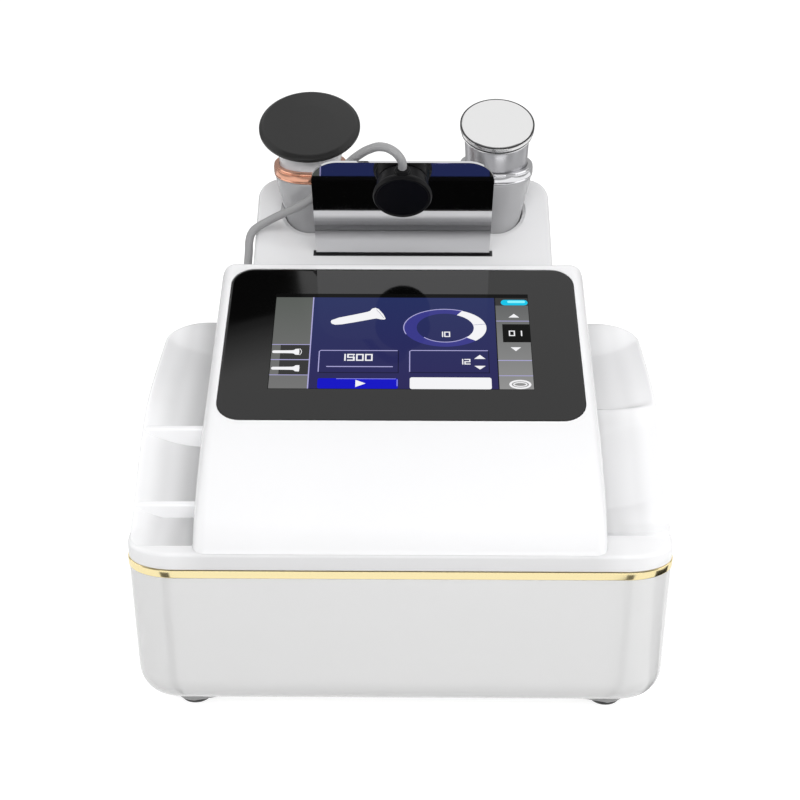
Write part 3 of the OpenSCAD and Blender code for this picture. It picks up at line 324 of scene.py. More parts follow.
dress(knob, finish_of("satin_black", (0.003, 0.003, 0.0035), 0.36, cloud=0.04, grain=0.06, grain_scale=1500,
                      gloss_level=0.16), "return_plate", "connector_knob")

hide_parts("lead_loop", "lead_run", "lead_coil", "lead_tail")
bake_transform(return_lead)

# Base tub
# A light-grey glossy moulding with a large rounded bottom edge, open at the top. Vents, the grille of the
# loudspeaker and the screws' seats are cut into its floor, and an opening for the rear panel into its wall.
CASE_X, CASE_Y, CASE_CORNER = 150.0, 142.0, (27, 17)
TUB_LOW, TUB_TOP, TUB_WALL, TUB_ROUND = 7, 102, 3, 25
POST_X, POST_Y = 128, (-127, 112)


def quarter_turn(steps):
    """Even angles from 0 to a right angle."""
    return np.linspace(0, np.pi / 2, steps)


def rounded_box(w, d, r, mid=(0, 0), steps=12):
    """Rectangle with quarter-ellipse corners, of one radius or of one across and one deep, anticlockwise."""
    rx, ry = np.broadcast_to(r, 2)
    turn = quarter_turn(steps)
    corners = [(1, 1, 0), (-1, 1, 1), (-1, -1, 2), (1, -1, 3)]
    return np.concatenate([
        np.stack([mid[0] + sx * (w / 2 - rx) + rx * np.cos(turn + k * np.pi / 2),
                  mid[1] + sy * (d / 2 - ry) + ry * np.sin(turn + k * np.pi / 2)], -1) for sx, sy, k in corners])


def at_height(outline, z):
    """A flat outline with one height for all its points."""
    return np.column_stack([outline, np.full(len(outline), z)])


def case_rings(levels):
    """Rings of the case outline, each at a height and drawn in by an inset, which its corners lose too."""
    return np.array([
        at_height(rounded_box(2 * (CASE_X - inset), 2 * (CASE_Y - inset),
                              [max(r - inset, 2) for r in CASE_CORNER], steps=20), z) for z, inset in levels])


def cut(piece, boxes=(), rods=(), prisms=()):
    """Cuts out boxes by two corners, round holes square to X by two ends and a radius, and prisms."""
    tool = bmesh.new()
    for low, high in boxes:
        size, mid = np.subtract(high, low), np.add(high, low) / 2
        for vert in bmesh.ops.create_cube(tool, size=1)["verts"]:
            vert.co = [(c * s + m) * MM for c, s, m in zip(vert.co, size, mid)]
    bores = []
    for start, end, radius in rods:
        way = np.subtract(end, start)
        length = np.linalg.norm(way)
        bores.append(turned([(radius, 0), (radius, length)], 64, start, way / length,
                            np.cross(way / length, (1, 0, 0))))
    for rings in [*bores, *prisms]:
        verts = [tool.verts.new(p * MM) for p in rings.reshape(-1, 3)]
        for face in ring_faces(*rings.shape[:2]):
            tool.faces.new([verts[i] for i in face])
    bmesh.ops.recalc_face_normals(tool, faces=tool.faces)
    mesh = bpy.data.meshes.new("cutter")
    tool.to_mesh(mesh)
    tool.free()
    cutter = placed("cutter", mesh)
    step = piece.modifiers.new("cut", "BOOLEAN")
    step.object, step.operation, step.solver = cutter, "DIFFERENCE", "EXACT"
    done = bpy.data.meshes.new_from_object(piece.evaluated_get(bpy.context.evaluated_depsgraph_get()))
    piece.modifiers.clear()
    piece.data = done
    smooth_to_edges(done)
    bpy.data.objects.remove(cutter)


tub_floor, inner_round = TUB_LOW + TUB_WALL, TUB_ROUND - TUB_WALL
tub_rings = case_rings(
    [(tub_floor, TUB_ROUND + 2)]
    + [(tub_floor + inner_round * (1 - math.cos(a)), TUB_WALL + inner_round * (1 - math.sin(a)))
       for a in quarter_turn(15)]
    + [(TUB_TOP - 0.3, TUB_WALL), (TUB_TOP, TUB_WALL + 0.3), (TUB_TOP, 0.4), (TUB_TOP - 0.4, 0)]
    + [(TUB_LOW + TUB_ROUND * (1 - math.cos(a)), TUB_ROUND * (1 - math.sin(a))) for a in quarter_turn(15)[::-1]]
    + [(TUB_LOW, TUB_ROUND + 2)])
tub_posts = [turned([(3.5, 9.5), (5.5, 9.5), (5.5, TUB_TOP), (1.7, TUB_TOP), (1.7, 82), (3.5, 82)], 32,
                    (x, y, 0)) for y in POST_Y for x in (POST_X, -POST_X)]
tub = solid_of_rings("tub_moulding", [tub_rings], tub_posts)
rear_opening = [((-103, 130, 40), (103, 146, 92))]
vents = [((x - 1.8, -60, 5), (x + 1.8, 0, 12)) for x in range(-35, 86, 20)]
screw_seats = [((x, y, 5), (x, y, 12), 3.4) for x in (-POST_X, POST_X) for y in POST_Y]
grille = [((x, y, 5), (x, y, 12), 1.5) for x, y in [(-100, -50)] + [
    (-100 + 10 * math.cos(a), -50 + 10 * math.sin(a)) for a in full_turn(6)]]
panel_holes = [((x, y0, z), (x, y1, z), r) for y0, y1, r in ((140.3, 143, 3.3), (138, 141, 1.7))
               for x in (-108, 108) for z in (45, 87)]
cut(tub, rear_opening + vents, screw_seats + grille + panel_holes)
dress(tub, finish_of("tub_gloss_grey", (0.72, 0.72, 0.72), 0.22, shade=0.015, grain=0.02, coat=0.6),
      "machine", "base_tub")

# Trim band
# A thin polished gold strip pressed between the tub and the upper shell, a little proud of both, with its long
# edges rounded over.
band_rings = case_rings([(102, 2.6), (102, -0.3), (102.25, -0.55), (102.6, -0.6), (106.4, -0.6), (106.75, -0.55),
                         (107, -0.3), (107, 2.6)])
band = solid_of_rings("gold_band", loops=[band_rings])
dress(band, polished("polished_gold", (0.97, 0.83, 0.47), 0.12), "machine", "gold_trim_band")

# Upper shell
# One glossy white moulding: a thin lip over the band, a flat ledge, and a scooped storage wing on each side,
# whose outer rim rises to the rear. Two ribs divide the left wing, and a soft ridge the right one.
LIP = 117.0
WING_IN, WING_RIM, WING_EDGE = 113.6, 2.2, 2.6
RAMP_Y, RAMP_TILT, RAMP_TOP = 24, math.radians(31), 43.5
# The rear outer corner of a wing is a quarter circle about this point.
CORNER_X, CORNER_Y, CORNER_R = 124.8, 180, 25
RIDGE_Y, RIB_Y, RIB_HALF, RIB_LOW = 98, (39.5, 82.5), 2.5, 114.5


def wing_edge(y, low):
    """Height of the rim over the lip: a straight ramp that levels off smoothly."""
    ramp = (y - RAMP_Y) * math.tan(RAMP_TILT)
    lift = np.maximum(ramp, 0)
    return np.maximum(np.where(ramp < 0, ramp, lift / (1 + (lift / RAMP_TOP) ** 6) ** (1 / 6)), low)


def wing_rings(low, ridge, start, floor):
    """The right wing as closed sections from a start to the rear, with a lowest rim and a lowest floor.

    A section's height is the rim's less depth times 1 - u squared, where u goes from 0 inside to 1 outside. The
    rim's edge is a quarter circle, and a bell-shaped ridge takes up to four fifths of the depth away.
    """
    y = np.concatenate([np.linspace(start, CORNER_Y, 110)[:-1],
                        CORNER_Y + CORNER_R * np.sin(quarter_turn(26))])[:, None]
    qy = np.maximum(y - CORNER_Y, 0)
    front_x, front_y = CASE_CORNER
    outside = np.minimum(
        CORNER_X + np.sqrt(np.maximum(CORNER_R ** 2 - qy ** 2, 0)),
        CASE_X - front_x + front_x * np.sqrt(1 - (np.clip(front_y - y, 0, front_y) / front_y) ** 2)
        - np.interp(y, [10, 27], [2.6, 0.2]))
    width = outside - WING_IN
    across = np.concatenate([np.linspace(0, 1, 30)[None, :-1] * (width - WING_EDGE),
                             width - WING_EDGE * (1 - np.sin(quarter_turn(12)))[None]], 1)
    u = across / width
    x = WING_IN + across
    edge = wing_edge(y, low)
    depth = (np.minimum(11, edge + 1.5 - low) * (1 - eased((y - 177) / 26))
             * (1 - ridge * 0.8 * np.exp(-((y - RIDGE_Y) / 6) ** 2)))
    near = np.where(qy > 0, CORNER_R - np.hypot(np.maximum(x - CORNER_X, 0), qy), outside - x)
    drop = WING_RIM - np.sqrt(np.maximum(WING_RIM ** 2 - np.maximum(WING_RIM - near, 0) ** 2, 0))
    z = np.maximum(LIP + edge - depth * (1 - u * u) - drop, floor)
    body = np.stack([x, np.broadcast_to(y - CASE_Y, x.shape), z], -1)
    foot_in, foot_out = body[:, :1].copy(), body[:, -1:].copy()
    foot_in[..., 2] = foot_out[..., 2] = 114.3
    return np.concatenate([foot_in, body, foot_out], 1)


def place_along(finish, axis, low, high):
    """A value that goes from 0 to 1 between two places on an axis, in metres."""
    nodes, links = finish.node_tree.nodes, finish.node_tree.links
    place = nodes.new("ShaderNodeTexCoord")
    split = nodes.new("ShaderNodeSeparateXYZ")
    links.new(place.outputs["Object"], split.inputs["Vector"])
    along = nodes.new("ShaderNodeMapRange")
    set_sockets(along, {"From Min": low, "From Max": high})
    links.new(split.outputs[axis], along.inputs["Value"])
    return along.outputs["Result"]


def painted_shade_across(finish, stops, half=151):
    """Painted shade: multiplies a finish's colour by greys that change from left to right, each at a place in
    millimetres.
    """
    nodes, links = finish.node_tree.nodes, finish.node_tree.links
    shader = nodes["Principled BSDF"]
    ramp = nodes.new("ShaderNodeValToRGB")
    ramp.color_ramp.interpolation = "EASE"
    for k, (x, grey) in enumerate(stops):
        where = (x + half) / (2 * half)
        stop = ramp.color_ramp.elements[0] if k == 0 else ramp.color_ramp.elements.new(where)
        stop.position = where
        stop.color = (grey, grey, grey, 1)
    links.new(place_along(finish, "X", -half * MM, half * MM), ramp.inputs["Fac"])
    darken = nodes.new("ShaderNodeMix")
    darken.data_type, darken.blend_type = "RGBA", "MULTIPLY"
    set_sockets(darken, {0: 1})
    links.new(shader.inputs["Base Color"].links[0].from_socket, darken.inputs[6])
    links.new(ramp.outputs["Color"], darken.inputs[7])
    links.new(darken.outputs[2], shader.inputs["Base Color"])


lip_rings = case_rings([(114, 3), (107, 3), (107, 0.3), (107.3, 0)]
                       + [(LIP - 2 + 2 * math.sin(a), 2 * (1 - math.cos(a))) for a in quarter_turn(7)]
                       + [(LIP, 3.5)])
shell = solid_of_rings("shell_moulding", [lip_rings])
wings = solid_of_rings("shell_wings", [wing_rings(3.5, 1, 21, 114.5), wing_rings(-2, 0, 9, 117.2) * (-1, 1, 1)])
rib_rings = []
for y in RIB_Y:
    top = LIP + float(wing_edge(np.array(y - 1.5), 0))
    side = rounded_path([(-RIB_HALF, 100 - top), (-RIB_HALF, 0, 1.1), (RIB_HALF, 0, 1.1),
                         (RIB_HALF, 100 - top)], 7)
    rib_rings.append(np.array([
        np.column_stack([np.full(len(side), x), y - CASE_Y + side[:, 0], np.maximum(top + side[:, 1], RIB_LOW)])
        for x in (-WING_IN, -125, -140, -147.8)]))
ribs = solid_of_rings("shell_ribs", rib_rings)
# Painted shade and light: the lip's white greys towards its middle, and the wings' white greys towards the
# console and is darkest where the wings meet it. Both are lighter on the right. The ribs keep a plain white.
shell_white_painted_shade = glossy_moulding("shell_gloss_white_painted_shade", 0.93, 0.24)
painted_shade_across(shell_white_painted_shade, [(-150, 0.9), (-126, 0.86), (-104, 0.75), (104, 0.75), (126, 0.88), (150, 0.96)])
wing_white_painted_shade = glossy_moulding("wing_gloss_white_painted_shade", 0.9, 0.24)
painted_shade_across(wing_white_painted_shade, [(-150, 1.0), (-145, 0.94), (-133, 0.76), (-120, 0.56), (-113.5, 0.46),
                          (113.5, 0.62), (120, 0.72), (133, 0.86), (143, 1.0)])
dress(shell, shell_white_painted_shade, "machine", "upper_shell")
dress(wings, wing_white_painted_shade, "machine", slot="upper_shell")
dress(ribs, glossy_moulding("rib_gloss_white", 0.92, 0.2), "machine", slot="upper_shell")

# Console cover
# The glossy white centre of the machine. Its front panel sweeps up in one curve into the slope that carries the
# screen, and its long edges and rear edge are rounded. It is hollow, with a pocket and a window for the screen.
CONSOLE_X, CONSOLE_Y, CONSOLE_D = 113.3, -141.0, 199
SLOPE, SLOPE_Y, SLOPE_Z = math.radians(18.4), 68, 44.3
# The screen glass: its front edge, and its middle up the slope.
GLASS_Y, GLASS_Z, GLASS_MID = -71.5, 161.799, (0, 64.5)


def console_outline(inset):
    """Side view drawn in by a distance: cubic front curve, straight slope, round rear edge, rear wall."""
    t = np.linspace(0, 1, 40)[:, None]
    a, b, d = np.zeros(2), np.array([4.0, 14.0]), np.array([SLOPE_Y, SLOPE_Z])
    c = d - 30 * np.array([math.cos(SLOPE), math.sin(SLOPE)])
    curve = (1 - t) ** 3 * a + 3 * (1 - t) ** 2 * t * b + 3 * (1 - t) * t * t * c + t ** 3 * d
    way = 3 * (1 - t) ** 2 * (b - a) + 6 * (1 - t) * t * (c - b) + 3 * t * t * (d - c)
    out = np.stack([-way[:, 1], way[:, 0]], -1) / np.linalg.norm(way, axis=1, keepdims=True)
    front = curve - inset * out
    bend = max(3 - inset, 0.4)
    reach = inset + bend
    mid_y = CONSOLE_D - reach
    mid = np.array([mid_y, SLOPE_Z + ((mid_y - SLOPE_Y) * math.sin(SLOPE) - reach) / math.cos(SLOPE)])
    turn = np.linspace(np.pi / 2 + SLOPE, 0, 9)
    arc = mid + bend * np.stack([np.cos(turn), np.sin(turn)], -1)
    straight = np.linspace(front[-1], arc[0], 8)[1:-1]
    wall = np.linspace(arc[-1], [arc[-1][0], 0], 5)[1:]
    path = np.concatenate([front, straight, arc, wall])
    path[:, 1] = np.maximum(path[:, 1], 0)
    return path


def console_grid(inset, radius):
    """The side view from left to right, drawn in along a quarter circle at both long edges."""
    half = CONSOLE_X - inset
    side = [(half - radius + radius * math.sin(a), inset + radius * (1 - math.cos(a))) for a in quarter_turn(10)]
    side.append((half, inset + radius + 2))
    stations = [(-x, i) for x, i in side[::-1]] + [(x, inset) for x in (-60, 0, 60)] + side
    return np.array([np.column_stack([np.full(len(p), x), CONSOLE_Y + p[:, 0], LIP + p[:, 1]])
                     for x, p in ((x, console_outline(i)) for x, i in stations)])


def grid_faces(rows, columns):
    """Faces of a grid that is open on all sides."""
    index = np.arange(rows * columns).reshape(rows, columns)
    return np.stack([index[:-1, :-1], index[1:, :-1], index[1:, 1:], index[:-1, 1:]], -1).reshape(-1, 4)


outer, inner = console_grid(0, 8), console_grid(3, 5)
rows, columns = outer.shape[:2]
span = rows * columns
index = np.arange(span).reshape(rows, columns)
skin = grid_faces(rows, columns)
console_faces = np.concatenate([skin, skin[:, ::-1] + span]).tolist()
console_faces += [index[0].tolist(), index[-1][::-1].tolist(),
                  (index[0][::-1] + span).tolist(), (index[-1] + span).tolist()]
rim = np.concatenate([index[:, 0], index[-1:, -1], index[::-1, -1][1:], index[:1, 0]])
console_faces += [[a, b, b + span, a + span] for a, b in zip(rim[:-1].tolist(), rim[1:].tolist())]
console = solid("console_moulding", np.concatenate([outer, inner]), console_faces)


def on_glass(points):
    """Points across, up and off the screen glass, turned into the machine's frame."""
    return on_slope(points, GLASS_Y, GLASS_Z, SLOPE)


def glass_rings(outlines):
    """Rings on the screen's slope, each an outline at a height off the glass."""
    return np.array([on_glass(at_height(outline, h)) for outline, h in outlines])


cut(console, prisms=[glass_rings([(rounded_box(212.6, 129.6, 14.3, GLASS_MID), h) for h in (-2.8, 5)]),
                     glass_rings([(rounded_box(167, 102, 0.5, (0, 66)), h) for h in (-12, -2.7)])])
dress(console, glossy_moulding("console_gloss_white", 0.81, 0.2, coat=0.35, grain=0.008), "machine",
      "console_cover")

# Screen
# Black cover glass with a ground edge, flush with the console, and the lit picture on it: a navy panel with a
# dial, boxes and a start key between two grey columns with arrows and small handpiece symbols. A rubber gasket
# and a moulded frame hold the display behind it.
glass = solid_of_rings("cover_glass", [glass_rings([
    (rounded_box(212 - 2 * i, 129 - 2 * i, 14 - i, GLASS_MID, 16), h)
    for i, h in ((0, -2), (0, -0.45), (0.13, -0.14), (0.45, 0), (1.2, 0))])])
dress(glass, finish_of("black_glass", (0.002, 0.002, 0.002), 0.045, cloud=0.02, grain=0.0), "machine",
      "screen_glass")


def finish_solids(finish, *nodes):
    """Gives its finish to each node whose own solid already has the right shape."""
    for node in nodes:
        give_finish(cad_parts[node], finish)


liner_black = finish_of("liner_black", (0.01, 0.01, 0.011), 0.5, grain=0.15)
moulded_dark = finish_of("moulded_dark", (0.03, 0.03, 0.033), 0.45, cloud=0.06, grain=0.15)
finish_solids(liner_black, "glass_gasket")
finish_solids(moulded_dark, "display_frame")
finish_solids(finish_of("panel_back", (0.02, 0.02, 0.05), 0.3), "display_panel")


# The picture's lower and upper edge in depth, in metres.
PICTURE_LOW, PICTURE_HIGH = -0.048, 0.029


def lit(name, color, far_color=None):
    """A lit part of the picture behind a glossy face, shaded up the slope where it has a second colour."""
    made, nodes, links, shader = new_finish("picture_" + name)
    set_sockets(shader, {"Base Color": (0.004, 0.004, 0.004, 1), "Roughness": 0.05, "Specular IOR Level": 0.05,
                         "Emission Color": (*color, 1), "Emission Strength": 1})
    if far_color:
        tint = nodes.new("ShaderNodeMix")
        tint.data_type = "RGBA"
        set_sockets(tint, {6: (*color, 1), 7: (*far_color, 1)})
        links.new(place_along(made, "Y", PICTURE_LOW, PICTURE_HIGH), tint.inputs[0])
        links.new(tint.outputs[2], shader.inputs["Emission Color"])
    return made


def picture(name, height, tone, shapes):
    """Flat outlines on the glass in one lit tone, each a thin closed plate up to a height off it."""
    plates = [glass_rings([(shape, 0), (shape, height)]) for shape in shapes]
    dress(solid_of_rings("picture_" + name, plates), lit(*tone), "machine", slot="display_panel")


def bar(x0, s0, x1, s1):
    """A rectangle by two corners."""
    return [(x0, s0), (x1, s0), (x1, s1), (x0, s1)]


def stroke(points, width):
    """A line of even width through points, open at its ends."""
    p = np.asarray(points, float)
    way = np.gradient(p, axis=0)
    off = np.stack([-way[:, 1], way[:, 0]], -1) / np.linalg.norm(way, axis=1, keepdims=True) * width / 2
    return np.concatenate([p + off, (p - off)[::-1]])


def arc(cx, cs, rx, rs, a0, a1, steps=40):
    """Points along an ellipse between two angles in degrees."""
    a = np.radians(np.linspace(a0, a1, steps))
    return np.stack([cx + rx * np.cos(a), cs + rs * np.sin(a)], -1)


def band_of(cx, cs, outer_r, inner_r, a0, a1, steps):
    """Part of an elliptical ring between two angles."""
    return np.concatenate([arc(cx, cs, *outer_r, a0, a1, steps), arc(cx, cs, *inner_r, a1, a0, steps)])


def handle_symbol(x, s, size):
    """Outline of a small lying handpiece: a slim grip, a waist and a head that widens."""
    half = [(-8.2, 0), (-8, 0.75), (-7.3, 1.15), (0, 1.2), (4.6, 1.3), (5.6, 1.7), (6.3, 2.5), (8.6, 2.7),
            (8.8, 0)]
    return np.array(half + [(px, -py) for px, py in half[-2:0:-1]]) * size + (x, s)


def digits(text, x, s, size):
    """Outlines of figures, each made of straight strokes on a seven-stroke pattern."""
    strokes = {"a": (0, 2, 1, 2), "b": (1, 1, 1, 2), "c": (1, 0, 1, 1), "d": (0, 0, 1, 0), "e": (0, 0, 0, 1),
               "f": (0, 1, 0, 2), "g": (0, 1, 1, 1)}
    figures = {"0": "abcdef", "1": "bc", "2": "abged", "5": "afgcd"}
    w = size * 0.19
    shapes = []
    for k, figure in enumerate(text):
        for a, b, c, d in (strokes[name] for name in figures[figure]):
            x0, x1 = (x + (k * 2.2 + v * 1.5) * size for v in (a, c))
            s0, s1 = (s + v * size for v in (b, d))
            shapes.append(bar(min(x0, x1) - w, min(s0, s1) - w, max(x0, x1) + w, max(s0, s1) + w))
    return shapes


large_handle = [
    (-43.1, 81), (-42.7, 82.4), (-38.3, 84.7), (-29, 87.4), (-21, 89.9), (-19.3, 91), (-18.3, 92.8),
    (-16.2, 93.6), (-14.1, 92.3), (-11.4, 88), (-9.9, 84), (-10.6, 83.2), (-13, 83.4), (-15.6, 84.2),
    (-19.6, 83.2), (-28.8, 80.7), (-36.2, 78.9), (-40.3, 78.5), (-42.4, 79.4)]
DIAL, DIAL_OUT, DIAL_IN = (26, 76.2), (24.9, 16.3), (17.1, 12.4)
picture("border", 0.02, ("black", (0, 0, 0)), [bar(-77.6, 24.6, 77.2, 106.2)])
picture("column_left", 0.04, ("grey_left", (0.17, 0.17, 0.17), (0.1, 0.11, 0.1)),
        [bar(-77.2, 24.9, -54.7, 102.8)])
picture("column_right", 0.04, ("grey_right", (0.28, 0.28, 0.28), (0.1, 0.105, 0.105)),
        [bar(57, 24.9, 76.9, 102.8)])
picture("shade", 0.05, ("dark_grey", (0.035, 0.035, 0.035)),
        [bar(-72, 48.9, -54.7, 61), bar(-72, 36.2, -54.7, 48.1), bar(57, 96, 76.9, 102.8)])
picture("panel", 0.04, ("navy", (0.02, 0.017, 0.098), (0.018, 0.028, 0.115)),
        [bar(-54, 24.9, 56.4, 102.8)])
picture("dial", 0.06, ("blue", (0.04, 0.04, 0.25)),
        [band_of(*DIAL, DIAL_OUT, DIAL_IN, 0, 359.9, 72)])
picture("lines", 0.08, ("line", (0.42, 0.4, 0.7)), [
    bar(-54.7, 24.9, -54, 102.8), bar(-77.2, 61, -54.7, 61.5), bar(-77.2, 48.2, -54.7, 48.8),
    bar(-77.2, 35.6, -54.7, 36.1), bar(57, 82, 76.9, 82.5), bar(57, 48.2, 76.9, 48.8), bar(57, 35.6, 76.9, 36.1),
    stroke(arc(*DIAL, *DIAL_OUT, 64, 200), 0.6), stroke(arc(*DIAL, *DIAL_IN, 222, 322), 0.6),
    bar(-49.1, 38.6, -48.5, 55.6), bar(-48, 56.1, -2.4, 56.7),
    [(-49.1, 55.6), (-48.5, 55.6), (-48, 56.1), (-48, 56.7)],
    bar(4.5, 38.8, 5.1, 55.8), bar(5.7, 56.3, 51.1, 56.9),
    [(4.5, 55.8), (5.1, 55.8), (5.7, 56.3), (5.7, 56.9)], bar(-44.2, 42.6, -5.1, 43.3)])
picture("shadow_lines", 0.08, ("deep_navy", (0.006, 0.006, 0.04)), [
    bar(-48.5, 37.6, -1.6, 38.3), bar(-2.2, 38.3, -1.6, 56.2), bar(5.1, 37.8, 51.8, 38.5),
    bar(51.2, 38.5, 51.8, 56.4), bar(-77.2, 55.2, -66, 55.4)])
picture("black_field", 0.08, ("field", (0, 0, 0)), [bar(60.5, 63.9, 76.9, 79.5)])
picture("start_key", 0.08, ("bright_blue", (0.0, 0.0, 0.55)),
        [rounded_box(46.9, 8.3, 1.2, (-25.4, 29.1), 6)])
picture("key_light", 0.1, ("pale_blue", (0.3, 0.3, 0.85)),
        [bar(-38, 32.7, -3.2, 33.1), bar(-2.7, 27, -2.2, 32.4)])
picture("cyan_mark", 0.08, ("cyan", (0.0, 0.55, 0.8)),
        [rounded_box(16.4, 4.9, 2.4, (68.6, 98.7), 8)])
picture("cyan_light", 0.1, ("light_cyan", (0.25, 0.9, 1.0)),
        [rounded_box(11, 2, 1, (69.8, 99.4), 6)])
picture("white_marks", 0.11, ("white", (0.9, 0.9, 0.92)), [
    rounded_box(47.6, 9.4, 1.4, (28.7, 29.5), 6), [(-26.7, 26.2), (-26.7, 32), (-20.8, 29.1)],
    band_of(*DIAL, DIAL_OUT, (17.3, 12.2), 12.3, 65, 24), band_of(*DIAL, DIAL_OUT, (17.3, 12.2), -43, 11.1, 30),
    large_handle, handle_symbol(-69, 55.1, 0.95), handle_symbol(-68.5, 41.3, 0.98),
    stroke(arc(-62, 55.1, 2.6, 3.2, -55, 55, 12), 0.4),
    [(42.9, 49.7), (49.5, 49.7), (46.3, 53.1)], [(42.9, 43.9), (49.5, 43.9), (46.1, 40.9)],
    [(64.6, 85.4), (71.1, 85.4), (67.9, 88.6)], [(64.8, 59.6), (71, 59.6), (67.8, 56.4)],
    band_of(69.1, 28.8, (6.4, 3.7), (5, 2.5), 0, 359.9, 40),
    band_of(69.1, 28.8, (4.2, 1.9), (3.4, 1.2), 0, 359.9, 30),
    *digits("10", 21.6, 68.6, 1.9), *digits("1500", -37, 48.2, 2.4), bar(-28.75, 49, -28.05, 49.9),
    bar(-28.75, 51.3, -28.05, 52.2), *digits("12", 33.2, 45.4, 1.9), *digits("01", 64.6, 69.6, 1.95)])
picture("handle_seam", 0.13, ("seam", (0.2, 0.22, 0.3)),
        [stroke([(-15.6, 91.8), (-13.9, 89.5), (-12.3, 86.8), (-11, 84.3)], 0.25)])

# Rear deck
# A glossy grey-white tower behind the console. Its top slopes to the rear, with soft edges, two round holes for
# the handpieces' cups and the slot of the return plate. A grey strip seals the joint with the console.
HAND_X, HAND_Y = 60.2, 113.0
DECK_W, DECK_D, DECK_CORNER, DECK_MID = 192, 77, 14, (0, 99.5)


def deck_top(y):
    """Height of the sloping top at a depth."""
    return DECK_Z + (y - DECK_Y) * math.tan(DECK_TILT)


def deck_ring(inset, under):
    """Rounded rectangle in plan, drawn in by a distance and a height under the sloping top."""
    plan = rounded_box(DECK_W - 2 * inset, DECK_D - 2 * inset, max(DECK_CORNER - inset, 1), DECK_MID, 16)
    return np.column_stack([plan, deck_top(plan[:, 1]) - under])


inner_base, base = deck_ring(3, 3.2), deck_ring(0, 0)
inner_base[:, 2] = base[:, 2] = LIP
deck_rings = np.array(
    [deck_ring(3, 3.2), inner_base, base]
    + [deck_ring(2.5 * (1 - math.cos(a)), 2.5 * (1 - math.sin(a))) for a in quarter_turn(8)] + [deck_ring(4, 0)])
deck = solid_of_rings("deck_moulding", [deck_rings])
cut(deck, rods=[((x, HAND_Y, 150), (x, HAND_Y, 260), 20.2) for x in (-HAND_X, HAND_X)],
    prisms=[np.array([on_deck(at_height(bar(-57.6, 19.05, 57.6, 23.85), h)) for h in (-20, 8)])])
seal = solid_of_rings("deck_seal", [np.array([at_height(rounded_box(184, 3, 1, (0, 59.5)), z)
                                              for z in (LIP, 190.4)])])
cup_grey = finish_of("cup_satin_grey", (0.6, 0.6, 0.61), 0.35, grain=0.03)
dress(seal, finish_of("seal_grey", (0.55, 0.55, 0.56), 0.5, grain=0.1), "machine", slot="rear_deck")
dress(deck, glossy_moulding("deck_gloss_grey", 0.69, 0.22), "machine", "rear_deck")
finish_solids(cup_grey, "left_holder_cup", "right_holder_cup")

# Return plate
# A sheet of mirror-polished steel with two round corners. It stands in a dark slot liner and the connector is
# bolted through it.
plated = finish_of("zinc_plate", (0.5, 0.5, 0.52), 0.3, metallic=1.0, cloud=0.08, grain=0.08)
finish_solids(polished("mirror_steel", (0.68, 0.68, 0.69), 0.035, cloud=0.015), "return_plate")
finish_solids(liner_black, "plate_slot_liner")
finish_solids(plated, "knob_stud")

# Handpieces
# Two upright applicators. Each has a hollow tapering grip, a polished collar and a flared neck that carries a
# tilted electrode: a large black-coated disc on the left and a small polished steel one on the right.
HAND_Z = 218.778
HEAD_TILT, HEAD_UP = math.radians(24), 59.2
COLLAR_R, STUD_R = 20.0, 4.03


def upright(side, profile, name):
    """A closed profile of radius and height over the deck, turned about a handpiece's axis."""
    return solid_of_rings(name, loops=[turned(profile, 96, (HAND_X * side, HAND_Y, HAND_Z))])


def smooth_line(points, steps=6):
    """A smooth curve through points: each stretch is a cubic with the slopes of its neighbours."""
    p = np.asarray(points, float)
    m = np.gradient(p, axis=0)
    t = np.linspace(0, 1, steps, endpoint=False)[None, :, None]
    a, b, ma, mb = p[:-1, None], p[1:, None], m[:-1, None], m[1:, None]
    line = ((2 * t ** 3 - 3 * t ** 2 + 1) * a + (t ** 3 - 2 * t ** 2 + t) * ma
            + (-2 * t ** 3 + 3 * t ** 2) * b + (t ** 3 - t ** 2) * mb)
    return np.concatenate([line.reshape(-1, 2), p[-1:]])


def head_disc(side, profile, name):
    """Tilted round electrode: a profile from its back to its face, turned about the tilted axis."""
    axis = np.array([0, -math.sin(HEAD_TILT), math.cos(HEAD_TILT)])
    return solid_of_rings(name, [turned(rounded_path(profile, 9), 128,
                                        (HAND_X * side, HAND_Y, HAND_Z + HEAD_UP), axis)])


def neck(side, r, thick, name):
    """Flared neck: a socket for the stud, then circles that widen and tilt from the collar up to the disc."""
    base = turned([(STUD_R, 36.4), (STUD_R, 31.5), (19.7, 31.5), (COLLAR_R, 31.8)], 96,
                  (HAND_X * side, HAND_Y, HAND_Z))
    low, back = 33.2, thick + 0.05
    high = HEAD_UP - back * math.cos(HEAD_TILT)
    f = np.linspace(0, 1, 24)[:, None]
    flare = COLLAR_R + (r - COLLAR_R) * f ** 1.6
    tilt = HEAD_TILT * f ** 1.3
    a = full_turn(96)
    x = HAND_X * side + flare * np.cos(a)
    y = HAND_Y + back * math.sin(HEAD_TILT) * f + flare * np.sin(a) * np.cos(tilt)
    z = HAND_Z + low + (high - low) * f + flare * np.sin(a) * np.sin(tilt)
    return solid_of_rings(name, [np.concatenate([base, np.stack([x, y, z], -1)])])


grip_outside = smooth_line([(14.6, -75), (15.2, -60), (15.6, -38), (16.2, -14), (17.7, 0), (19.6, 9),
                            (21.7, 18.6), (22.6, 23.6)])


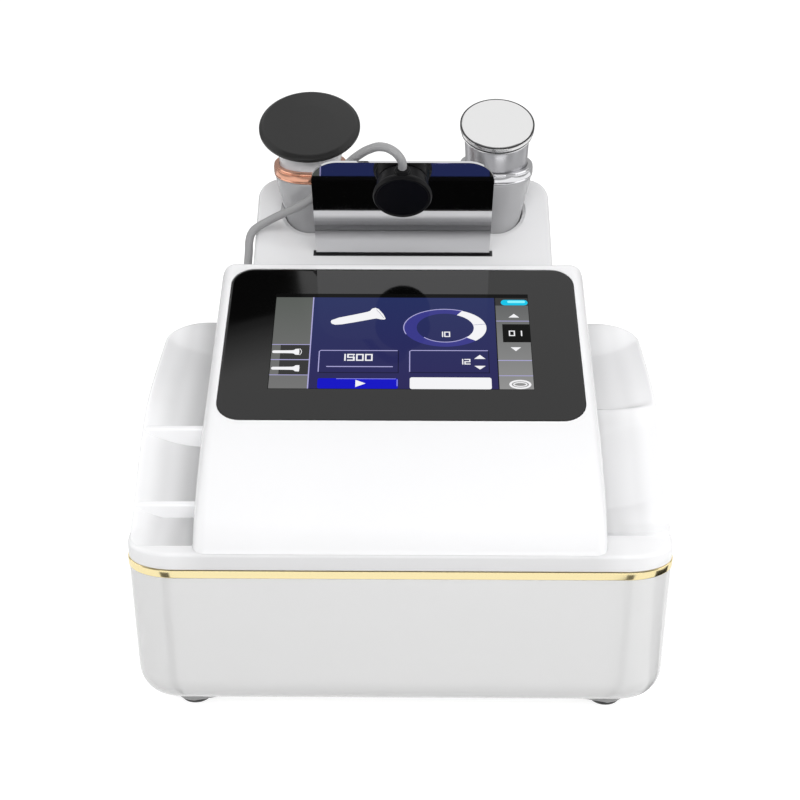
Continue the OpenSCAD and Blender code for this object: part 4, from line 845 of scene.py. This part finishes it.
def cup_lip(side, name):
    """Soft lip of a holder cup: a ring that follows the sloping deck from the hole's edge to just off the grip.

    Its inner radius is the grip's at the height where the ring lies, found by going round six times.
    """
    a = full_turn(96)

    def ring(r, depth):
        """A circle in plan about the handpiece, at a depth under the deck's top."""
        y = HAND_Y + r * np.sin(a)
        return np.stack([HAND_X * side + r * np.cos(a), y, deck_top(y) - depth], -1)

    r = np.full(96, 17.7)
    for _ in range(6):
        r = np.interp(ring(r, 1.0)[:, 2] - HAND_Z, grip_outside[:, 1], grip_outside[:, 0]) + 0.6
    return solid_of_rings(name, loops=[np.array([ring(r, 2.6), ring(20.1, 2.6), ring(20.1, 0.7), ring(19.7, 0.4),
                                                 ring(r + 0.3, 0.8), ring(r, 1.2)])])


lip_grey = finish_of("cup_lip_grey", (0.6, 0.6, 0.61), 0.3, grain=0.03)
rose_gold = polished("rose_gold", (0.8, 0.42, 0.29), 0.14, shade=0.03)
chrome = polished("chrome", (0.82, 0.82, 0.84), 0.06)
brass = finish_of("turned_brass", (0.75, 0.55, 0.22), 0.25, metallic=1.0, cloud=0.05, grain=0.05)
grip_grey = glossy_moulding("grip_gloss", 0.36, 0.18, coat=0.4)
satin_chrome = polished("satin_chrome", (0.55, 0.55, 0.57), 0.3, cloud=0.03)
neck_white = finish_of("neck_gloss", (0.66, 0.66, 0.68), 0.16, shade=0.01, grain=0.01, coat=0.4)
disc_black = finish_of("coated_black", (0.014, 0.014, 0.014), 0.3, cloud=0.02, grain=0.03, grain_scale=1800,
                       gloss_level=0.33)
steel_face = polished("polished_face", (0.8, 0.8, 0.8), 0.1, shade=0.01)
# Black for the painted dark reflection lines on the right disc's rim.
painted_rim_dark = finish_of("painted_rim_black", (0.012, 0.012, 0.013), 0.25, grain=0.02)
for side, word, collar_metal, neck_finish, neck_r, disc_thick in (
        (-1, "left", rose_gold, neck_white, 25.5, 6), (1, "right", chrome, satin_chrome, 21.4, 4.5)):
    dress(cup_lip(side, word + "_cup_lip"), lip_grey, "machine", slot=word + "_holder_cup")
    grip = upright(side, np.concatenate([[(11.5, -76), (14.1, -76)], grip_outside, [
        (22.7, 24.6), (22.4, 25.2), (19, 25.2), (19, 10), (14, 8), (11.5, 4)]]), word + "_grip_moulding")
    dress(grip, grip_grey, word + "_handpiece", word + "_grip")
    collar = upright(side, rounded_path([
        (20.3, 25.25), (22.9, 25.25, 0.5), (23.6, 26, 0.6), (23.2, 26.7, 0.2), (23.2, 27, 0.2),
        (23.7, 27.3, 0.2), (23.7, 30.6, 0.3), (23.2, 30.9, 0.2), (23.2, 31.2, 0.2), (23.6, 31.5, 0.3),
        (23.3, 32.6, 0.6), (20.3, 32.7)], 5), word + "_collar_ring")
    dress(collar, collar_metal, word + "_handpiece", word + "_collar")
    flare = neck(side, neck_r, disc_thick, word + "_neck_flare")
    dress(flare, neck_finish, word + "_electrode", word + "_electrode_neck")
    finish_solids(moulded_dark, word + "_contact_socket", word + "_end_cap")
    finish_solids(brass, word + "_contact_stud")
for side, word, face_finish, profile in (
        (-1, "left", disc_black, [(0, -6), (31.3, -6, 0.8), (32.5, -4.8, 0.8), (32.5, -2.6, 2), (29.9, -0.5, 2),
                                  (16, -0.1, 4), (0, 0)]),
        (1, "right", steel_face, [(0, -8.2), (20.2, -8.2, 0.4), (21.4, -8.2, 1.6), (23, -7, 1.6),
                                  (23.3, -5.4, 0.6), (23.1, -4.9, 0.3), (23.9, -3.6, 1.4), (23.8, -1.7, 1),
                                  (22.6, -0.5, 0.5), (22.1, -0.45, 0.3), (12, -0.1, 4), (0, 0)])):
    disc = head_disc(side, profile, word + "_disc_head")
    dress(disc, face_finish, word + "_electrode", word + "_electrode_disc")
# Two thin black bands round the right disc's rim: painted dark reflection, the dark lines that its polished edge
# shows.
for name, r, off in (("right_disc_painted_dark_line", 23.85, -1.1), ("right_disc_low_painted_dark_line", 23.35, -5.15)):
    seam = head_disc(1, [(r - 1.2, off - 0.32), (r, off - 0.32, 0.2), (r, off + 0.32, 0.2),
                         (r - 1.2, off + 0.32)], name)
    dress(seam, painted_rim_dark, "right_electrode", slot="right_electrode_disc")

# Feet
# Four rubber feet, each let into an oblong light-grey mount under the tub and held by a screw. A mount's round
# outer end takes the foot, and its slimmer end points inwards.
FOOT_X, FOOT_Y, MOUNT_REACH = 120.5, 114, 14
foot_rings, mount_rings = [], []
a = full_turn(64)
for x in (-FOOT_X, FOOT_X):
    for y in (-FOOT_Y, FOOT_Y):
        foot_rings.append(turned(rounded_path([
            (4.5, 3), (4.5, 0, 0.3), (9, 0, 1.2), (10, 2, 0.8), (10, 7), (1.7, 7), (1.7, 3)], 6), 64, (x, y, 0)))
        inward = -math.copysign(MOUNT_REACH, x)
        slim = np.cos(a) * inward > 0
        plan = np.stack([x + np.where(slim, inward + 8 * np.cos(a), 12 * np.cos(a)),
                         y + np.where(slim, 8, 12) * np.sin(a)], -1)
        hole = np.stack([x + 10.1 * np.cos(a), y + 10.1 * np.sin(a)], -1)
        mid = np.array([x + inward * 0.35, y])
        mount_rings.append(np.array([at_height(p, z) for p, z in (
            (hole, 7), (hole, 3.5), (mid + (plan - mid) * 0.93, 3.5), (plan, 4.3), (plan, 7))]))
feet = solid_of_rings("rubber_foot_set", loops=foot_rings)
dress(feet, finish_of("foot_rubber", (0.02, 0.02, 0.02), 0.6, cloud=0.08, grain=0.3, grain_scale=700),
      "machine", "rubber_feet")
foot_plates = solid_of_rings("foot_mount_set", loops=mount_rings)
dress(foot_plates, finish_of("mount_grey", (0.4, 0.4, 0.4), 0.4, grain=0.1), "machine", "foot_mounts")
finish_solids(plated, "foot_screws")

# Rear fittings and inside parts
# The fan, inlet, fuse, rocker and sockets on the painted rear panel, and the boards and power parts inside.
finish_solids(finish_of("painted_grey", (0.45, 0.45, 0.46), 0.42, cloud=0.05, grain=0.2, grain_scale=600),
              "rear_panel")
finish_solids(chrome, "fan_guard", "handpiece_sockets")
finish_solids(moulded_black, "fan_housing", "mains_inlet", "rocker_frame")
finish_solids(moulded_dark, "fan_rotor", "fuse_drawer", "rocker_switch", "speaker")
finish_solids(finish_of("fuse_glass", (0.8, 0.8, 0.76), 0.08, cloud=0.02, grain=0.0), "fuse")
finish_solids(plated, "chassis_plate", "case_screws", "cover_screws", "panel_screws")
finish_solids(finish_of("satin_alloy", (0.6, 0.61, 0.63), 0.34, metallic=1.0, cloud=0.08, grain=0.1),
              "power_supply", "heat_sink")
finish_solids(finish_of("enamelled_winding", (0.5, 0.2, 0.05), 0.3, metallic=0.7, grain=0.4, grain_scale=500),
              "output_transformer")
for name, color, node in (("board_green", (0.01, 0.09, 0.03), "control_board"),
                          ("board_blue", (0.01, 0.04, 0.14), "generator_board")):
    finish_solids(finish_of(name, color, 0.35, cloud=0.06, grain=0.25, grain_scale=500), node)
finish_solids(brass, "board_standoffs")


# Floor and light
# A plain white floor under a white backdrop, a large soft lamp in front, weaker ones at the sides and behind,
# and a dim even sky. Cards that only reflections see, white overhead and dark in front, give the polished parts
# their edges, as in a studio. Places are in metres here.
def stage_sheet(name, points, color, glow=0.0, faces=None):
    """A flat piece of the studio with a plain finish."""
    mesh = bpy.data.meshes.new(name)
    mesh.from_pydata(points, [], faces or [tuple(range(len(points)))])
    sheet = placed(name, mesh)
    paint, _, _, shader = new_finish(name)
    set_sockets(shader, {"Base Color": (color, color, color, 1), "Roughness": 0.9, "Specular IOR Level": 0.1,
                         "Emission Color": (1, 1, 1, 1), "Emission Strength": glow})
    mesh.materials.append(paint)
    return sheet


def floor_at(z, x=6, near=-6, far=6):
    """Corners of a level rectangle at a height."""
    return [(-x, near, z), (x, near, z), (x, far, z), (-x, far, z)]


def mirrored_only(card):
    """Lets only reflections see a card."""
    card.visible_camera = card.visible_diffuse = card.visible_shadow = False


def dome_card(name, turns, heights, glow, away=3.0):
    """Part of a glowing sphere, between two bearings from the front and two heights, in degrees."""
    a = np.radians(np.linspace(*turns, 25))
    h = np.radians(np.linspace(*heights, 7))[:, None]
    grid = away * np.stack([np.sin(a) * np.cos(h), -np.cos(a) * np.cos(h), np.sin(h) + 0 * a], -1)
    return stage_sheet(name, grid.reshape(-1, 3).tolist(), 0.0, glow, grid_faces(7, 25).tolist())


seen_floor = stage_sheet("floor_in_view", floor_at(0), 0.3, 0.85)
backdrop = dome_card("backdrop", (0, 360), (-2, 90), 1.2, 5.5)
for seen in (seen_floor, backdrop):
    seen.visible_diffuse = seen.visible_shadow = seen.visible_glossy = False
lit_floor = stage_sheet("floor_for_bounce", floor_at(-0.001), 0.6)
lit_floor.visible_camera = lit_floor.visible_glossy = False
mirrored_only(stage_sheet("floor_mirrored", floor_at(-0.001), 0.0, 0.4))
mirrored_only(stage_sheet("floor_near", floor_at(0.0005, 0.8, -0.6, 0.6), 0.0, 1.0))
WEDGE_LONG, WEDGE_Z = 0.2, 0.001
for name, x, y, bearings, glow in (
        ("card_left", -0.125, -0.13, (17, 32), 0.14), ("card_right", 0.12, -0.13, (12, 23), 0.14),
        ("card_far_right", 0.14, -0.12, (56, 100), 0.03)):
    wedge = [(x, y, WEDGE_Z)] + [
        (x + math.copysign(WEDGE_LONG, x) * math.sin(a), y - WEDGE_LONG * math.cos(a), WEDGE_Z)
        for a in map(math.radians, bearings)]
    mirrored_only(stage_sheet(name, wedge, 0.0, glow))
for name, turns, heights, glow in (
        ("card_overhead_rear", (60, 300), (32, 89), 1.0), ("card_overhead_front", (-60, 60), (58, 89), 1.0),
        ("card_front", (-50, 78), (34, 57), 0.0), ("card_front_low", (-30, 30), (1, 15), 2.0)):
    mirrored_only(dome_card(name, turns, heights, glow))
for k, heights in enumerate(((56, 62.5), (62.5, 63), (63, 63.5), (63.5, 64), (64, 64.5))):
    mirrored_only(dome_card("card_rear_left_%d" % k, (191, 203), heights, 0.19 * k, 2.8))
mirrored_only(dome_card("card_side_left", (-105, -62), (0, 30), 1.3))
mirrored_only(dome_card("card_side_right", (62, 105), (0, 30), 1.3))

sky = bpy.data.worlds.new("sky")
sky.use_nodes = True
set_sockets(sky.node_tree.nodes["Background"], {"Color": (1, 1, 1, 1), "Strength": 0.4})
bpy.context.scene.world = sky
AIM_Z = 0.15
for name, place, size, power in (
        ("lamp_front", (0.2, -1.7, 1.9), (2.4, 1.2), 40), ("lamp_left", (-1.7, -0.3, 1.0), (1.4, 1.4), 9),
        ("lamp_right", (1.7, -0.5, 0.8), (1.4, 1.4), 12), ("lamp_rear", (0, 1.8, 1.6), (2.0, 1.0), 8)):
    lamp = placed(name, bpy.data.lights.new(name, "AREA"))
    lamp.data.shape = "RECTANGLE"
    lamp.data.size, lamp.data.size_y = size
    lamp.data.energy = power
    lamp.location = place
    lamp.rotation_euler = (-Vector((*place[:2], place[2] - AIM_Z))).to_track_quat("-Z", "Y").to_euler()
    lamp.visible_glossy = False
bpy.context.scene.view_settings.view_transform = "Standard"
